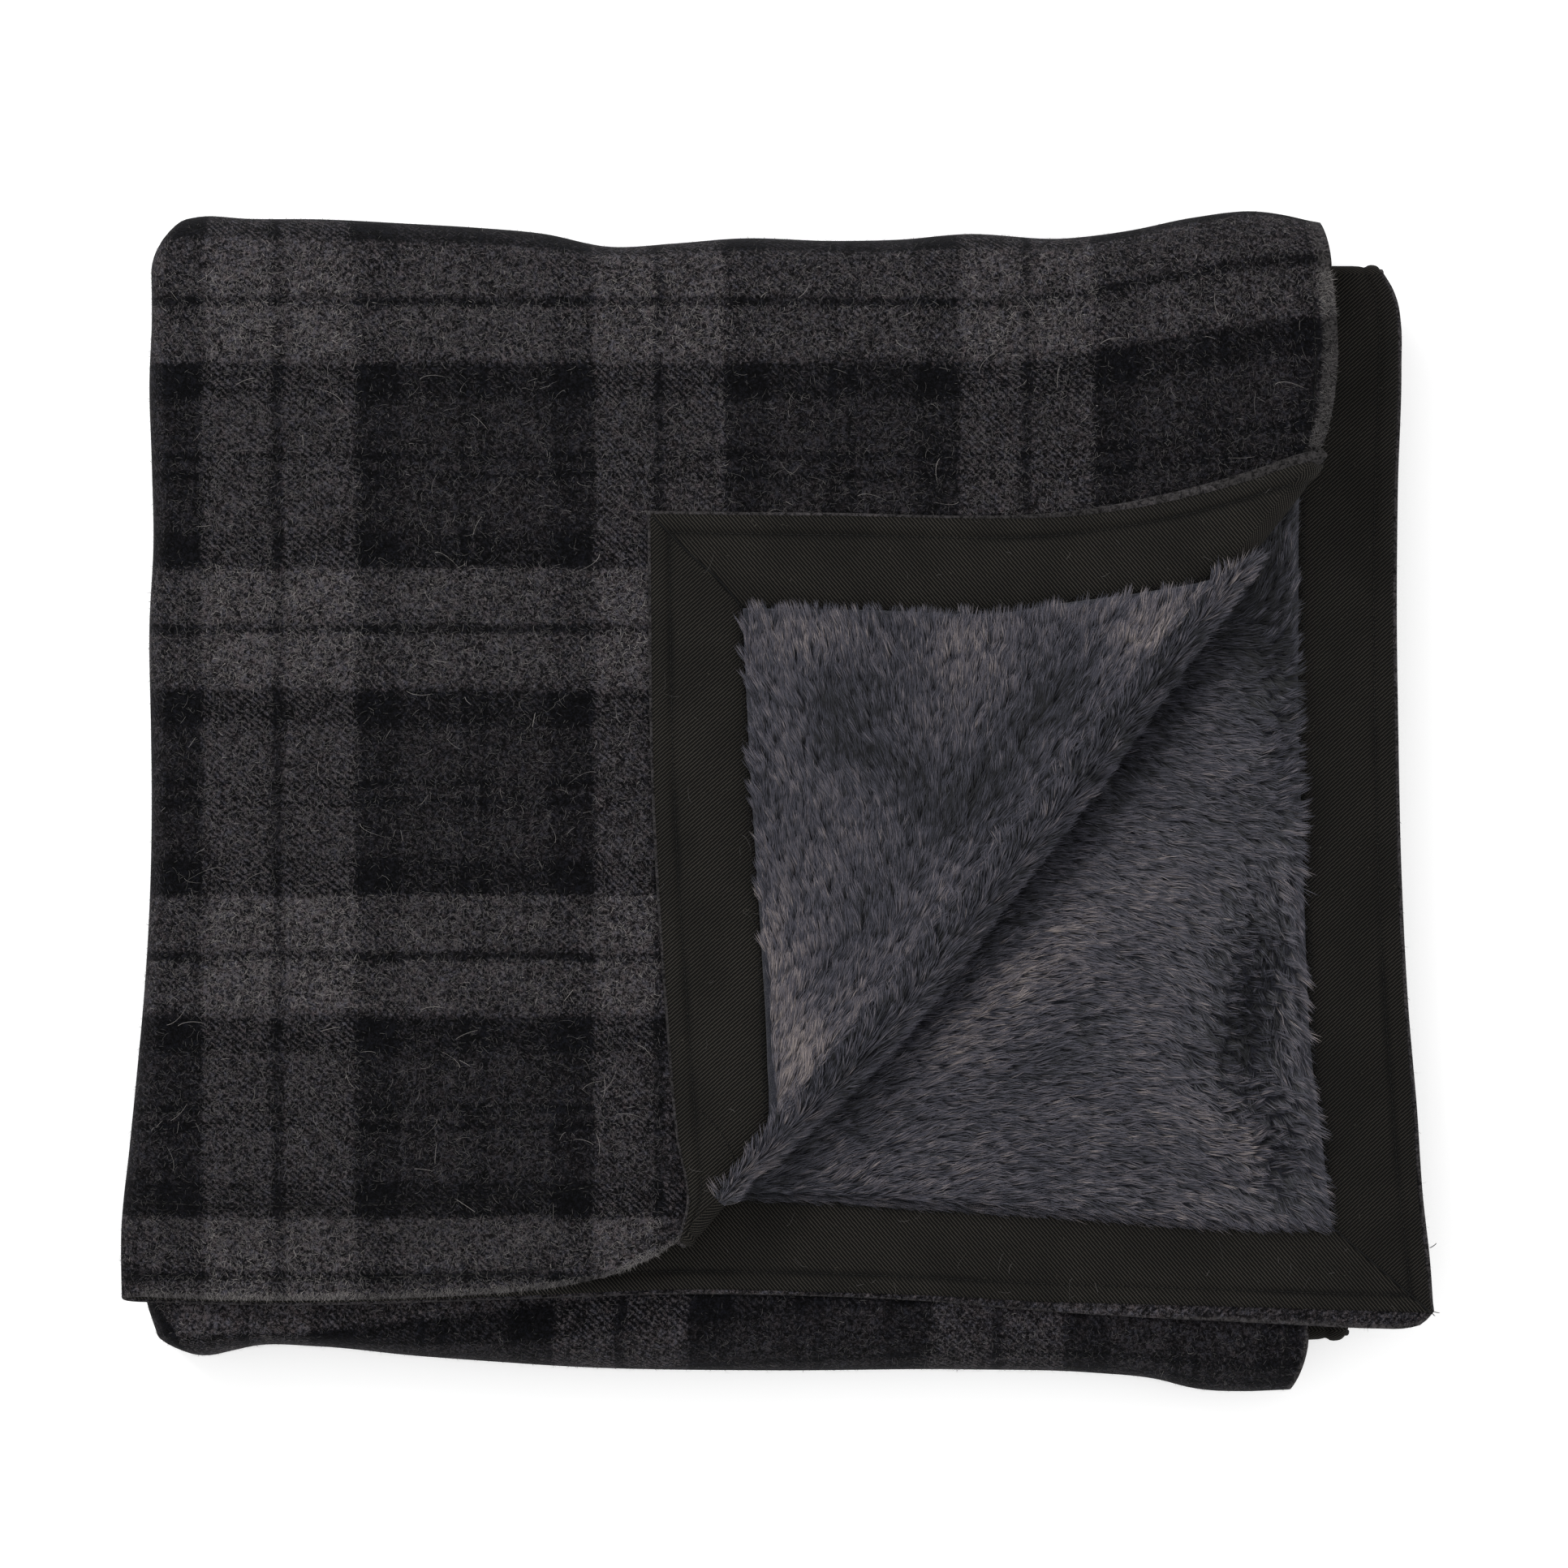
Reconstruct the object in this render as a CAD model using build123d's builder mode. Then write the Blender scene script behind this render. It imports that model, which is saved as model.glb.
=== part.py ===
from build123d import *
import os

# A camp blanket of 1300 x 1700 mm, folded for storage. It is first folded in half across its
# short side (soft pile inside) and then in three like a letter Z, so six sheets lie in three
# pairs. The near right corner of the top sheet is turned back and lies on the blanket.
#
# +X is to the right, +Y is towards the back fold, +Z is up. The origin is on the ground, in
# the middle of the resting face. Sizes are in millimetres.
#
# Every sheet is a woven wool face with a long-pile lining sewn behind it, and a mitred twill
# facing band in place of the lining along the free edges.
# Sheets are numbered from the top: 1 and 2 are the top pair, 3 and 4 the middle, 5 and 6 the base.

# --- cloth ---
WOOL = 2.0           # thickness of the woven face
PILE = 9.9           # thickness of the lining, backing and pile together
BAND = 1.0           # thickness of the twill facing band
BAND_W = 50.0        # width of the facing band
GAP = 0.2            # air between two sheets that lie on each other

# Layers of the cloth: (depth behind the wool face, thickness)
WOOL_LAYER = (0.0, WOOL)
LINING_LAYER = (WOOL, PILE)
BAND_LAYER = (WOOL, BAND)

# --- stitching ---
TOPSTITCH_IN = 10.0  # topstitch row, in from the free edge
EDGE_SEAM_IN = 48.0  # seam along the band's inner edge, in from the free edge
ROW_END = 4.0        # a row stops this far short of a fold or of the crossing row
SEAM_END = 2.0       # a base side edge seam stops this far short of the back seam
THREAD_W = 0.8
THREAD_H = 0.3

# --- the stack ---
PAIR = 2 * (WOOL + PILE) + GAP      # height of one pair of sheets
HALF = PAIR / 2                     # outer radius of the fold at the left of each pair
Z_BASE = 0.0
Z_MID = PAIR + GAP
Z_TOP = 2 * (PAIR + GAP)
Z_FRONT_AXIS = PAIR + GAP / 2       # axis of the front fold, between base and middle pairs
Z_BACK_AXIS = Z_TOP - GAP / 2       # axis of the back fold, between middle and top pairs
ROLL_R = PAIR + GAP / 2             # outer radius of the front and back folds

# Left fold axes
X_TOP = -328.0
X_MID = -326.0
X_BASE = -324.0

# Front and back ends of the flat sheets
Y_BACK = 282.1                      # axis of the back fold
Y_FRONT = -280.4                    # axis of the front fold
Y_HEM = 287.0                       # back hem of the base pair
Y_HEM_IN = Y_HEM - BAND_W           # inner edge of its band
Y_TOP_HEM = -260.2                  # front hem of the top pair
Y_TOP_HEM_IN = Y_TOP_HEM + BAND_W   # inner edge of its band

# Right ends of the front and back folds
FRONT_INNER_X = 303.6               # sheets 4 and 5
FRONT_OUTER_X = 280.8               # sheets 3 and 6
BACK_INNER_X = 329.8                # sheets 2 and 3
BACK_OUTER_X = 288.5                # sheets 1 and 4
HEM_5_X = 292.8                     # right ends of the base pair's back hem
HEM_6_X = 314.3

# --- crease of the turned-back corner ---
LIFT = 6.0                          # clear height inside the crease
Z_CREASE = Z_TOP + PAIR + LIFT / 2
Z_CORNER = Z_TOP + PAIR + LIFT      # underside of the turned-back corner
CREASE_NEAR = (-53.0, -230.4)       # near end of the crease
CREASE_FAR = (292.5, 195.8)         # far end of the crease
CREASE_SPAN = Vector(CREASE_FAR[0] - CREASE_NEAR[0], CREASE_FAR[1] - CREASE_NEAR[1], 0)
CREASE_LEN = CREASE_SPAN.length
CREASE_DIR = CREASE_SPAN.normalized()
CREASE_OUT = Vector(CREASE_DIR.Y, -CREASE_DIR.X, 0)


def on_crease(distance):
    """Point on the crease, this far from its near end."""
    return (
        CREASE_NEAR[0] + CREASE_DIR.X * distance,
        CREASE_NEAR[1] + CREASE_DIR.Y * distance,
    )


SHEET_NEAR = on_crease(52.0)        # where the lining of sheet 1 meets the crease
SHEET_FAR = on_crease(467.0)
CORNER_NEAR = on_crease(76.0)       # where the lining of the turned-back corner meets it
CORNER_FAR = on_crease(437.0)
ROLL_NEAR = 65.0                    # ends of the lining round the crease, from its near end
ROLL_FAR = 451.0

# --- free edges in plan, as (x, y) points ---
# Right edge of each sheet, from back to front, keyed by sheet number
right_edge = {
    1: [(BACK_OUTER_X, Y_BACK), CREASE_FAR],
    2: [(BACK_INNER_X, Y_BACK), (347.9, -270.0)],
    3: [(BACK_INNER_X, Y_BACK), (FRONT_OUTER_X, Y_FRONT)],
    4: [(BACK_OUTER_X, Y_BACK), (FRONT_INNER_X, Y_FRONT)],
    5: [(HEM_5_X, Y_HEM), (FRONT_INNER_X, Y_FRONT)],
    6: [(HEM_6_X, Y_HEM), (FRONT_OUTER_X, Y_FRONT)],
}
# Inner edge of the band along each right edge, where the lining starts
right_inner = {
    1: [(BACK_OUTER_X - BAND_W, Y_BACK), SHEET_FAR],
    2: [(BACK_INNER_X - BAND_W, Y_BACK), (296.3, -219.3)],
    3: [(BACK_INNER_X - BAND_W, Y_BACK), (FRONT_OUTER_X - BAND_W, Y_FRONT)],
    4: [(BACK_OUTER_X - BAND_W, Y_BACK), (FRONT_INNER_X - BAND_W, Y_FRONT)],
    5: [(HEM_5_X - BAND_W, Y_HEM_IN), (FRONT_INNER_X - BAND_W, Y_FRONT)],
    6: [(HEM_6_X - BAND_W, Y_HEM_IN), (FRONT_OUTER_X - BAND_W, Y_FRONT)],
}
# Front hem of the top pair and the inner edge of its band, from right to left
hem_1 = [
    CREASE_NEAR, (-68.4, -234.0), (-111.4, -252.8), (-171.6, Y_TOP_HEM), (X_TOP, Y_TOP_HEM),
]
hem_1_inner = [SHEET_NEAR, (-125.0, -203.0), (-175.0, Y_TOP_HEM_IN), (X_TOP, Y_TOP_HEM_IN)]
hem_2 = [right_edge[2][1], (X_TOP, Y_TOP_HEM)]
hem_2_inner = [right_inner[2][1], (X_TOP, Y_TOP_HEM_IN)]

# Edges of the turned-back corner, from its tip to the crease. The first pair was the right
# edge of sheet 1 and the second its front hem.
corner_right = [
    (-68.4, 154.8), (60.6, 154.8), (168.1, 156.5), (224.0, 166.4), (275.6, 179.3), CREASE_FAR,
]
corner_right_inner = [(-18.9, 104.1), (159.5, 107.0), CORNER_FAR]
corner_front = [(-68.4, 154.8), (-65.8, -3.4), (-58.9, -110.9), (-53.3, -175.4), CREASE_NEAR]
corner_front_inner = [(-18.9, 104.1), (-15.8, -3.4), (-8.9, -110.9), CORNER_NEAR]


def sheet_outline(fold_x, edge):
    """Outline from the left fold line to a right edge."""
    return [(fold_x, edge[0][1]), *edge, (fold_x, edge[-1][1])]


def strip(first, second):
    """Outline between two edges that run the same way."""
    return first + second[::-1]


def flat(outline, z, layer):
    """One flat piece of a layer, wool side down, with the wool face at z."""
    depth, thickness = layer
    with BuildPart() as piece:
        with BuildSketch(Plane.XY.offset(z + depth)):
            with BuildLine():
                Polyline(*outline, close=True)
            make_face()
        extrude(amount=thickness)
    return piece.part


def flat_under(outline, z, layer):
    """One flat piece of a layer, wool side up, with the wool face at z."""
    depth, thickness = layer
    return flat(outline, z - 2 * depth - thickness, layer)


def folded_pair(lower, upper, layer, fold_x, pair_z, y_back, y_front):
    """One layer of both sheets of a pair, as one cloth round the left fold."""
    depth, thickness = layer
    outer = HALF - depth
    with BuildPart() as piece:
        for outline, z in ((lower, pair_z + depth), (upper, pair_z + PAIR - depth - thickness)):
            with BuildSketch(Plane.XY.offset(z)):
                with BuildLine():
                    Polyline(*outline, close=True)
                make_face()
            extrude(amount=thickness)
        with BuildSketch(Plane.XZ.offset(-y_back)):
            with Locations((fold_x, pair_z + HALF)):
                Circle(outer)
                Circle(outer - thickness, mode=Mode.SUBTRACT)
                Rectangle(
                    2 * HALF, 3 * HALF, align=(Align.MIN, Align.CENTER), mode=Mode.SUBTRACT
                )
        extrude(amount=y_back - y_front)
    return piece.part


def half_tube(plane, inner, thickness, length, cut_side):
    """Half tube along the plane's normal. Align.MIN cuts away local +X, Align.MAX local -X."""
    outer = inner + thickness
    with BuildPart() as piece:
        with BuildSketch(plane):
            Circle(outer)
            Circle(inner, mode=Mode.SUBTRACT)
            Rectangle(
                2 * outer, 3 * outer, align=(cut_side, Align.CENTER), mode=Mode.SUBTRACT
            )
        extrude(amount=length)
    return piece.part


def stitches(rows):
    """Rows of thread, each given as (points, z of its underside)."""
    with BuildPart() as piece:
        for points, z in rows:
            with BuildSketch(Plane.XY.offset(z)):
                with BuildLine():
                    Polyline(*points)
                trace(line_width=THREAD_W)
            extrude(amount=THREAD_H)
    return piece.part


def pair_stitches(pair_z, lower, upper):
    """Rows on the facing bands of the lower and upper sheets of a pair."""
    z_lower = pair_z + WOOL + BAND
    z_upper = pair_z + PAIR - WOOL - BAND - THREAD_H
    rows = [(points, z_lower) for points in lower] + [(points, z_upper) for points in upper]
    return stitches(rows)


parts = {}

# ================= base and middle pairs: wool and lining =================
for name, lower, upper, fold_x, pair_z in (
    ("base", 6, 5, X_BASE, Z_BASE),
    ("middle", 4, 3, X_MID, Z_MID),
):
    for cloth, edges, layer in (
        ("wool", right_edge, WOOL_LAYER),
        ("lining", right_inner, LINING_LAYER),
    ):
        parts[f"{name}_{cloth}"] = folded_pair(
            sheet_outline(fold_x, edges[lower]),
            sheet_outline(fold_x, edges[upper]),
            layer, fold_x, pair_z, y_back=edges[lower][0][1], y_front=Y_FRONT,
        )

# ================= top pair: wool and lining =================
for cloth, edges, upper_hem, lower_hem, layer in (
    ("wool", right_edge, hem_1, hem_2, WOOL_LAYER),
    ("lining", right_inner, hem_1_inner, hem_2_inner, LINING_LAYER),
):
    parts[f"top_{cloth}"] = folded_pair(
        [(X_TOP, Y_BACK), edges[2][0], *lower_hem],
        [(X_TOP, Y_BACK), *edges[1], *upper_hem],
        layer, X_TOP, Z_TOP, y_back=Y_BACK, y_front=lower_hem[-1][1],
    )

# ================= facing bands of the pairs =================
for name, lower, upper, pair_z in (
    ("base", 6, 5, Z_BASE),
    ("middle", 4, 3, Z_MID),
    ("top", 2, 1, Z_TOP),
):
    parts[f"{name}_band_right_lower"] = flat(
        strip(right_edge[lower], right_inner[lower]), pair_z, BAND_LAYER
    )
    parts[f"{name}_band_right_upper"] = flat_under(
        strip(right_edge[upper], right_inner[upper]), pair_z + PAIR, BAND_LAYER
    )

# band along the back hem, one strip round the left fold, mitred at both right-hand corners
parts["base_band_back"] = folded_pair(
    [(X_BASE, Y_HEM), right_edge[6][0], right_inner[6][0], (X_BASE, Y_HEM_IN)],
    [(X_BASE, Y_HEM), right_edge[5][0], right_inner[5][0], (X_BASE, Y_HEM_IN)],
    BAND_LAYER, X_BASE, Z_BASE, y_back=Y_HEM, y_front=Y_HEM_IN,
)

# band along the front hem, one strip round the left fold, mitred at the sheet 2 corner
parts["top_band_front"] = folded_pair(
    hem_2[::-1] + hem_2_inner,
    hem_1[::-1] + hem_1_inner,
    BAND_LAYER, X_TOP, Z_TOP, y_back=Y_TOP_HEM_IN, y_front=Y_TOP_HEM,
)

# ================= stitching of the pairs =================
Y_TOPSTITCH = Y_HEM - TOPSTITCH_IN
Y_EDGE_SEAM = Y_HEM - EDGE_SEAM_IN

parts["base_topstitch"] = pair_stitches(
    Z_BASE,
    lower=(
        ((FRONT_OUTER_X - TOPSTITCH_IN, Y_FRONT + ROW_END), (303.0, Y_TOPSTITCH - ROW_END)),
        ((X_BASE, Y_TOPSTITCH), (300.0, Y_TOPSTITCH)),
    ),
    upper=(
        ((FRONT_INNER_X - TOPSTITCH_IN, Y_FRONT + ROW_END), (283.4, Y_TOPSTITCH - ROW_END)),
        ((X_BASE, Y_TOPSTITCH), (279.0, Y_TOPSTITCH)),
    ),
)
parts["base_edge_seam"] = pair_stitches(
    Z_BASE,
    lower=(
        ((FRONT_OUTER_X - EDGE_SEAM_IN, Y_FRONT + ROW_END), (265.2, Y_EDGE_SEAM - SEAM_END)),
        ((X_BASE, Y_EDGE_SEAM), (262.0, Y_EDGE_SEAM)),
    ),
    upper=(
        ((FRONT_INNER_X - EDGE_SEAM_IN, Y_FRONT + ROW_END), (245.2, Y_EDGE_SEAM - SEAM_END)),
        ((X_BASE, Y_EDGE_SEAM), (241.0, Y_EDGE_SEAM)),
    ),
)

parts["middle_topstitch"] = pair_stitches(
    Z_MID,
    lower=[((278.6, Y_BACK - ROW_END), (293.5, Y_FRONT + ROW_END))],
    upper=[((319.4, Y_BACK - ROW_END), (271.2, Y_FRONT + ROW_END))],
)
parts["middle_edge_seam"] = pair_stitches(
    Z_MID,
    lower=[((240.6, Y_BACK - ROW_END), (255.5, Y_FRONT + ROW_END))],
    upper=[((281.4, Y_BACK - ROW_END), (233.2, Y_FRONT + ROW_END))],
)

parts["top_topstitch"] = pair_stitches(
    Z_TOP,
    lower=(
        ((319.9, Y_BACK - ROW_END), (337.0, -256.0)),
        ((X_TOP, -250.4), (334.0, -259.8)),
    ),
    upper=(
        ((X_TOP, -250.2), (-172.0, -250.2), (-114.0, -243.0), (-72.0, -225.0)),
        ((278.5, Y_BACK - ROW_END), (281.0, 190.0)),
    ),
)
parts["top_edge_seam"] = pair_stitches(
    Z_TOP,
    lower=(
        ((281.9, Y_BACK - ROW_END), (298.1, -216.0)),
        ((X_TOP, -212.4), (294.0, -221.4)),
    ),
    upper=(
        ((X_TOP, -212.4), (-174.8, -212.4), (-124.0, -205.4), (-40.0, -195.5)),
        ((240.8, Y_BACK - ROW_END), (242.9, 138.0)),
    ),
)
parts["top_mitre_seam"] = pair_stitches(
    Z_TOP, lower=[((344.0, -266.2), (300.0, -222.9))], upper=()
)

# ================= front and back folds =================
# The front fold joins the base and middle pairs: sheets 4 and 5 are one cloth round the inside
# of it, sheets 3 and 6 round the outside. The back fold joins the middle and top pairs: sheets
# 2 and 3 are one cloth round the inside, sheets 1 and 4 round the outside.
for name, fold_x, axis_y, axis_z, cut_side, inner_x, outer_x in (
    ("front", X_MID, Y_FRONT, Z_FRONT_AXIS, Align.MIN, FRONT_INNER_X, FRONT_OUTER_X),
    ("back", X_TOP, Y_BACK, Z_BACK_AXIS, Align.MAX, BACK_INNER_X, BACK_OUTER_X),
):
    for side, right_x in (("inner", inner_x), ("outer", outer_x)):
        for cloth, layer, x_start, x_end in (
            ("wool", WOOL_LAYER, fold_x, right_x),
            ("lining", LINING_LAYER, fold_x, right_x - BAND_W),
            ("band", BAND_LAYER, right_x - BAND_W, right_x),
        ):
            depth, thickness = layer
            # the wool faces the axis in the inner cloth and faces outwards in the outer one
            inner_r = GAP / 2 + depth if side == "inner" else ROLL_R - depth - thickness
            axis = Plane(origin=(x_start, axis_y, axis_z), x_dir=(0, 1, 0), z_dir=(1, 0, 0))
            parts[f"{name}_fold_{side}_{cloth}"] = half_tube(
                axis, inner_r, thickness, x_end - x_start, cut_side
            )

# ================= crease of the turned-back corner =================
crease_plane = Plane(origin=(*CREASE_NEAR, Z_CREASE), x_dir=CREASE_OUT, z_dir=CREASE_DIR)
for cloth, layer, start, end in (
    ("wool", WOOL_LAYER, 0.0, CREASE_LEN),
    ("lining", LINING_LAYER, ROLL_NEAR, ROLL_FAR),
    ("band_front", BAND_LAYER, 0.0, ROLL_NEAR),
    ("band_right", BAND_LAYER, ROLL_FAR, CREASE_LEN),
):
    depth, thickness = layer
    parts[f"crease_{cloth}"] = half_tube(
        crease_plane.offset(start), LIFT / 2 + depth, thickness, end - start, Align.MAX
    )

# ================= turned-back corner =================
# The corner lies upside down: wool below, pile and bands above.
for cloth, outline, layer in (
    ("wool", corner_right + corner_front[:0:-1], WOOL_LAYER),
    ("lining", corner_right_inner + corner_front_inner[:0:-1], LINING_LAYER),
    ("band_right", strip(corner_right, corner_right_inner), BAND_LAYER),
    ("band_front", strip(corner_front_inner, corner_front), BAND_LAYER),
):
    parts[f"corner_{cloth}"] = flat(outline, Z_CORNER, layer)

# rows of thread on the corner's bands
corner_rows = {
    "topstitch": (
        ((-56.0, 144.8), (60.6, 144.8), (167.0, 146.5), (222.0, 156.2), (262.0, 166.0)),
        ((-58.4, 142.0), (-55.8, -3.0), (-48.9, -110.0), (-43.5, -170.0)),
    ),
    "edge_seam": (
        ((-16.0, 106.4), (159.0, 109.2), (220.0, 111.2)),
        ((-20.8, 100.0), (-17.9, -3.6), (-11.0, -110.9), (-7.4, -166.0)),
    ),
    "mitre_seam": [((-65.0, 151.3), (-22.5, 107.8))],
}
for name, rows in corner_rows.items():
    parts[f"corner_{name}"] = stitches([(points, Z_CORNER + WOOL + BAND) for points in rows])


os.makedirs("parts", exist_ok=True)
for label, part in parts.items():
    part.label = label
    export_step(part, f"parts/{label}.step")
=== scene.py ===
"""Camp blanket, folded in half and then in three, with one corner turned back.

It lies flat on the floor: x runs to the right, y to the back, z up. Six sheets lie one on
another, numbered 1 (top) to 6. Sheets 1-2, 3-4 and 5-6 are pairs joined by folds on the left,
pile side inwards. A roll at the back joins the top and middle pairs, and one at the front
joins the middle and base pairs. The front right corner of sheet 1 is turned back over a
slanting crease. Lengths are millimetres; meshes are made in metres.
"""
import math
from collections import namedtuple
from functools import cached_property
import bpy
import bmesh
import numpy as np
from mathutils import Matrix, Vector


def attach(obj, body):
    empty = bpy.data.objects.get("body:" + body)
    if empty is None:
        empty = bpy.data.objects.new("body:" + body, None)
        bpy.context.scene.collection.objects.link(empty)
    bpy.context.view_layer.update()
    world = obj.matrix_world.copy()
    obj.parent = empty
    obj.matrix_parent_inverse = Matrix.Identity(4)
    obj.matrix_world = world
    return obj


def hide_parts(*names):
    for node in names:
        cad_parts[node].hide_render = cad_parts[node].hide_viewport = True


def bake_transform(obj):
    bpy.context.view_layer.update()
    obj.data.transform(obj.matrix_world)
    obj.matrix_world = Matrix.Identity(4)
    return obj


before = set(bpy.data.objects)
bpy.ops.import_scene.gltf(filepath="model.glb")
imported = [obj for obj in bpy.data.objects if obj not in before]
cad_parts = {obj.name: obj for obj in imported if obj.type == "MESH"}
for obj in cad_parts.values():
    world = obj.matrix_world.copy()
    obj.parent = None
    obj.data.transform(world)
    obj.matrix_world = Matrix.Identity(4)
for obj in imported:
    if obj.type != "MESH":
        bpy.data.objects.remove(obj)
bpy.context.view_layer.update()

bpy.context.scene.view_settings.view_transform = "Standard"
rng = np.random.default_rng(41)

METRES = 0.001
WOOL = 2.2  # thickness of the plaid wool
PILE_START = 2.35  # depth of the pile ground below the plaid face
FOLD_BEND = 12.0  # depth of the left folds
FOLD_STEPS = 12
SHEET_STEPS = 148  # columns from a left fold to the right edge
TOP_ROWS, LOWER_ROWS = 140, 48
BACK_Y, FRONT_Y = 282.1, -280.4  # where the rolls begin
ROLL_RADIUS = 24.1
BASE_BACK_Y = 287.0  # back edge of the base pair
BAND_WIDTH = 50.0
BAND_GAP = 0.06  # between wool and facing band
BAND_INSET = 0.8  # from the edge of the wool
BASE_LINING_Y = BASE_BACK_Y - BAND_WIDTH

# The crease, from its front left end to its back right end
CREASE_START = np.array([-53.0, -230.4])
CREASE_END = np.array([285.79, 187.52])
CREASE_LENGTH = float(np.hypot(*(CREASE_END - CREASE_START)))
CREASE_DIR = (CREASE_END - CREASE_START) / CREASE_LENGTH
CREASE_OUT = np.array([CREASE_DIR[1], -CREASE_DIR[0]])  # to the front right
PILE_FROM, PILE_TO = 30.0, 451.0  # pile along the crease, on the turned corner
LINING_TURN = 476.0  # where the lining of sheet 1 leaves the crease

PAIRS = {"top": (2, 1), "middle": (3, 4), "base": (6, 5)}
BODY = {"top": "top_fold", "middle": "middle_fold", "base": "base_fold",
        "corner": "turned_corner"}
CREASE_BODIES = ("top_fold", "turned_corner")
PILE_SIDE = {1: -1, 2: 1, 3: -1, 4: 1, 5: -1, 6: 1, "corner": 1}  # the pile faces down or up


# ---------- curves and noise ----------
def smooth(value):
    value = np.clip(value, 0, 1)
    return value * value * (3 - 2 * value)


def noise(x, y, scale, seed, octaves=2):
    """Smooth value noise on a lattice, about -1 to 1."""
    value, weight, total = 0.0, 1.0, 0.0
    for octave in range(octaves):
        cell = scale / 2 ** octave
        grid_x, grid_y = np.asarray(x, float) / cell, np.asarray(y, float) / cell
        left, front = np.floor(grid_x).astype(int), np.floor(grid_y).astype(int)
        part_x, part_y = smooth(grid_x - left), smooth(grid_y - front)

        def lattice(i, j):
            key = i * 374761393 + j * 668265263 + (seed + 31 * octave) * 2147483647
            key = key & 0x7FFFFFFF
            key = ((key ^ (key >> 13)) * 1274126177) & 0x7FFFFFFF
            return ((key ^ (key >> 16)) & 0xFFFF) / 32767.5 - 1

        def row(j):
            return lattice(left, j) * (1 - part_x) + lattice(left + 1, j) * part_x

        value = value + weight * (row(front) * (1 - part_y) + row(front + 1) * part_y)
        total += weight
        weight *= 0.5
    return value / total


def run_lengths(points):
    steps = np.linalg.norm(np.diff(points, axis=0), axis=1)
    return np.r_[0, np.cumsum(steps)]


class Curve:
    """Smooth plan curve through points, taken by share of its length."""

    def __init__(self, points):
        points = np.array(points, float)
        run = run_lengths(points)
        slope = np.gradient(points, run, axis=0)
        part = np.linspace(0, 1, 16, endpoint=False)[:, None]
        square, cube = part**2, part**3
        pieces = []
        for i in range(len(points) - 1):
            step = run[i + 1] - run[i]
            pieces.append((2 * cube - 3 * square + 1) * points[i]
                          + (cube - 2 * square + part) * step * slope[i]
                          + (-2 * cube + 3 * square) * points[i + 1]
                          + (cube - square) * step * slope[i + 1])
        self.points = np.vstack(pieces + [points[-1:]])
        self.run = run_lengths(self.points)
        self.length = self.run[-1]

    def at(self, share):
        run = np.asarray(share, float) * self.length
        return np.stack([np.interp(run, self.run, self.points[:, i]) for i in (0, 1)], -1)

    def even(self, count):
        return self.at(np.linspace(0, 1, count))

    def x_of(self, y):
        order = np.argsort(self.points[:, 1])
        return np.interp(y, self.points[order, 1], self.points[order, 0])

    def y_of(self, x):
        order = np.argsort(self.points[:, 0])
        return np.interp(x, self.points[order, 0], self.points[order, 1])


def on_crease(along):
    return CREASE_START + np.multiply.outer(np.asarray(along, float), CREASE_DIR)


def crease_along(x, y):
    return (x - CREASE_START[0]) * CREASE_DIR[0] + (y - CREASE_START[1]) * CREASE_DIR[1]


def crease_out(x, y):
    """Distance from the crease line, positive to the front right."""
    return (x - CREASE_START[0]) * CREASE_OUT[0] + (y - CREASE_START[1]) * CREASE_OUT[1]


def split(points):
    return points[..., 0], points[..., 1]


def straight(start, end, count):
    share = np.linspace(0, 1, count)[:, None]
    return (1 - share) * np.array(start, float) + share * np.array(end, float)


# ---------- outlines: (x, y) points ----------
LEFT = {
    "top": Curve([
        (-332.6, 300), (-332, 254.6), (-333.2, 224.5), (-332, 181.5), (-331.1, 138.5),
        (-333.2, 95.5), (-332.4, 39.6), (-332, 9.5), (-333.2, -55), (-335.8, -98),
        (-339.7, -141), (-344, -184), (-348.6, -227), (-348.4, -268)]),
    "middle": Curve([
        (-332.6, 300), (-331.5, 230), (-330, 120), (-331, 0), (-334, -120), (-338, -215),
        (-339, -252), (-331, -281), (-322, -300)]),
    "base": Curve([
        (-329, 300), (-330, 200), (-328.5, 60), (-331, -80), (-333, -200), (-331, -281),
        (-322, -300)]),
}
# Outermost lines of the two rolls
BACK_LINE = Curve([
    (-345, 307), (-331, 308.5), (-324.2, 310.5), (-313.5, 312.4), (-279.1, 311.3),
    (-244.7, 310.9), (-193.1, 308.3), (-158.7, 306.2), (-124.3, 303.1), (-89.9, 296.4),
    (-55.5, 298), (-21.1, 300.6), (30.5, 299.3), (64.9, 300.1), (99.3, 303.1), (150.9, 301),
    (185.3, 304.9), (219.7, 311.8), (254.1, 315.2), (271.3, 313.5), (292, 309.5), (345, 309.5)])
FRONT_LINE = Curve([
    (-350, -291), (-333.7, -291.5), (-313.5, -293.8), (-296.3, -291.1), (-279.1, -288.3),
    (-244.7, -289), (-193.1, -294.1), (-158.7, -296.7), (-107.1, -300.1), (-3.9, -301.9),
    (99.3, -301.4), (168.1, -303.1), (202.5, -306.6), (219.7, -310.9), (254.1, -313),
    (281, -312.2), (345, -311)])
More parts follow.
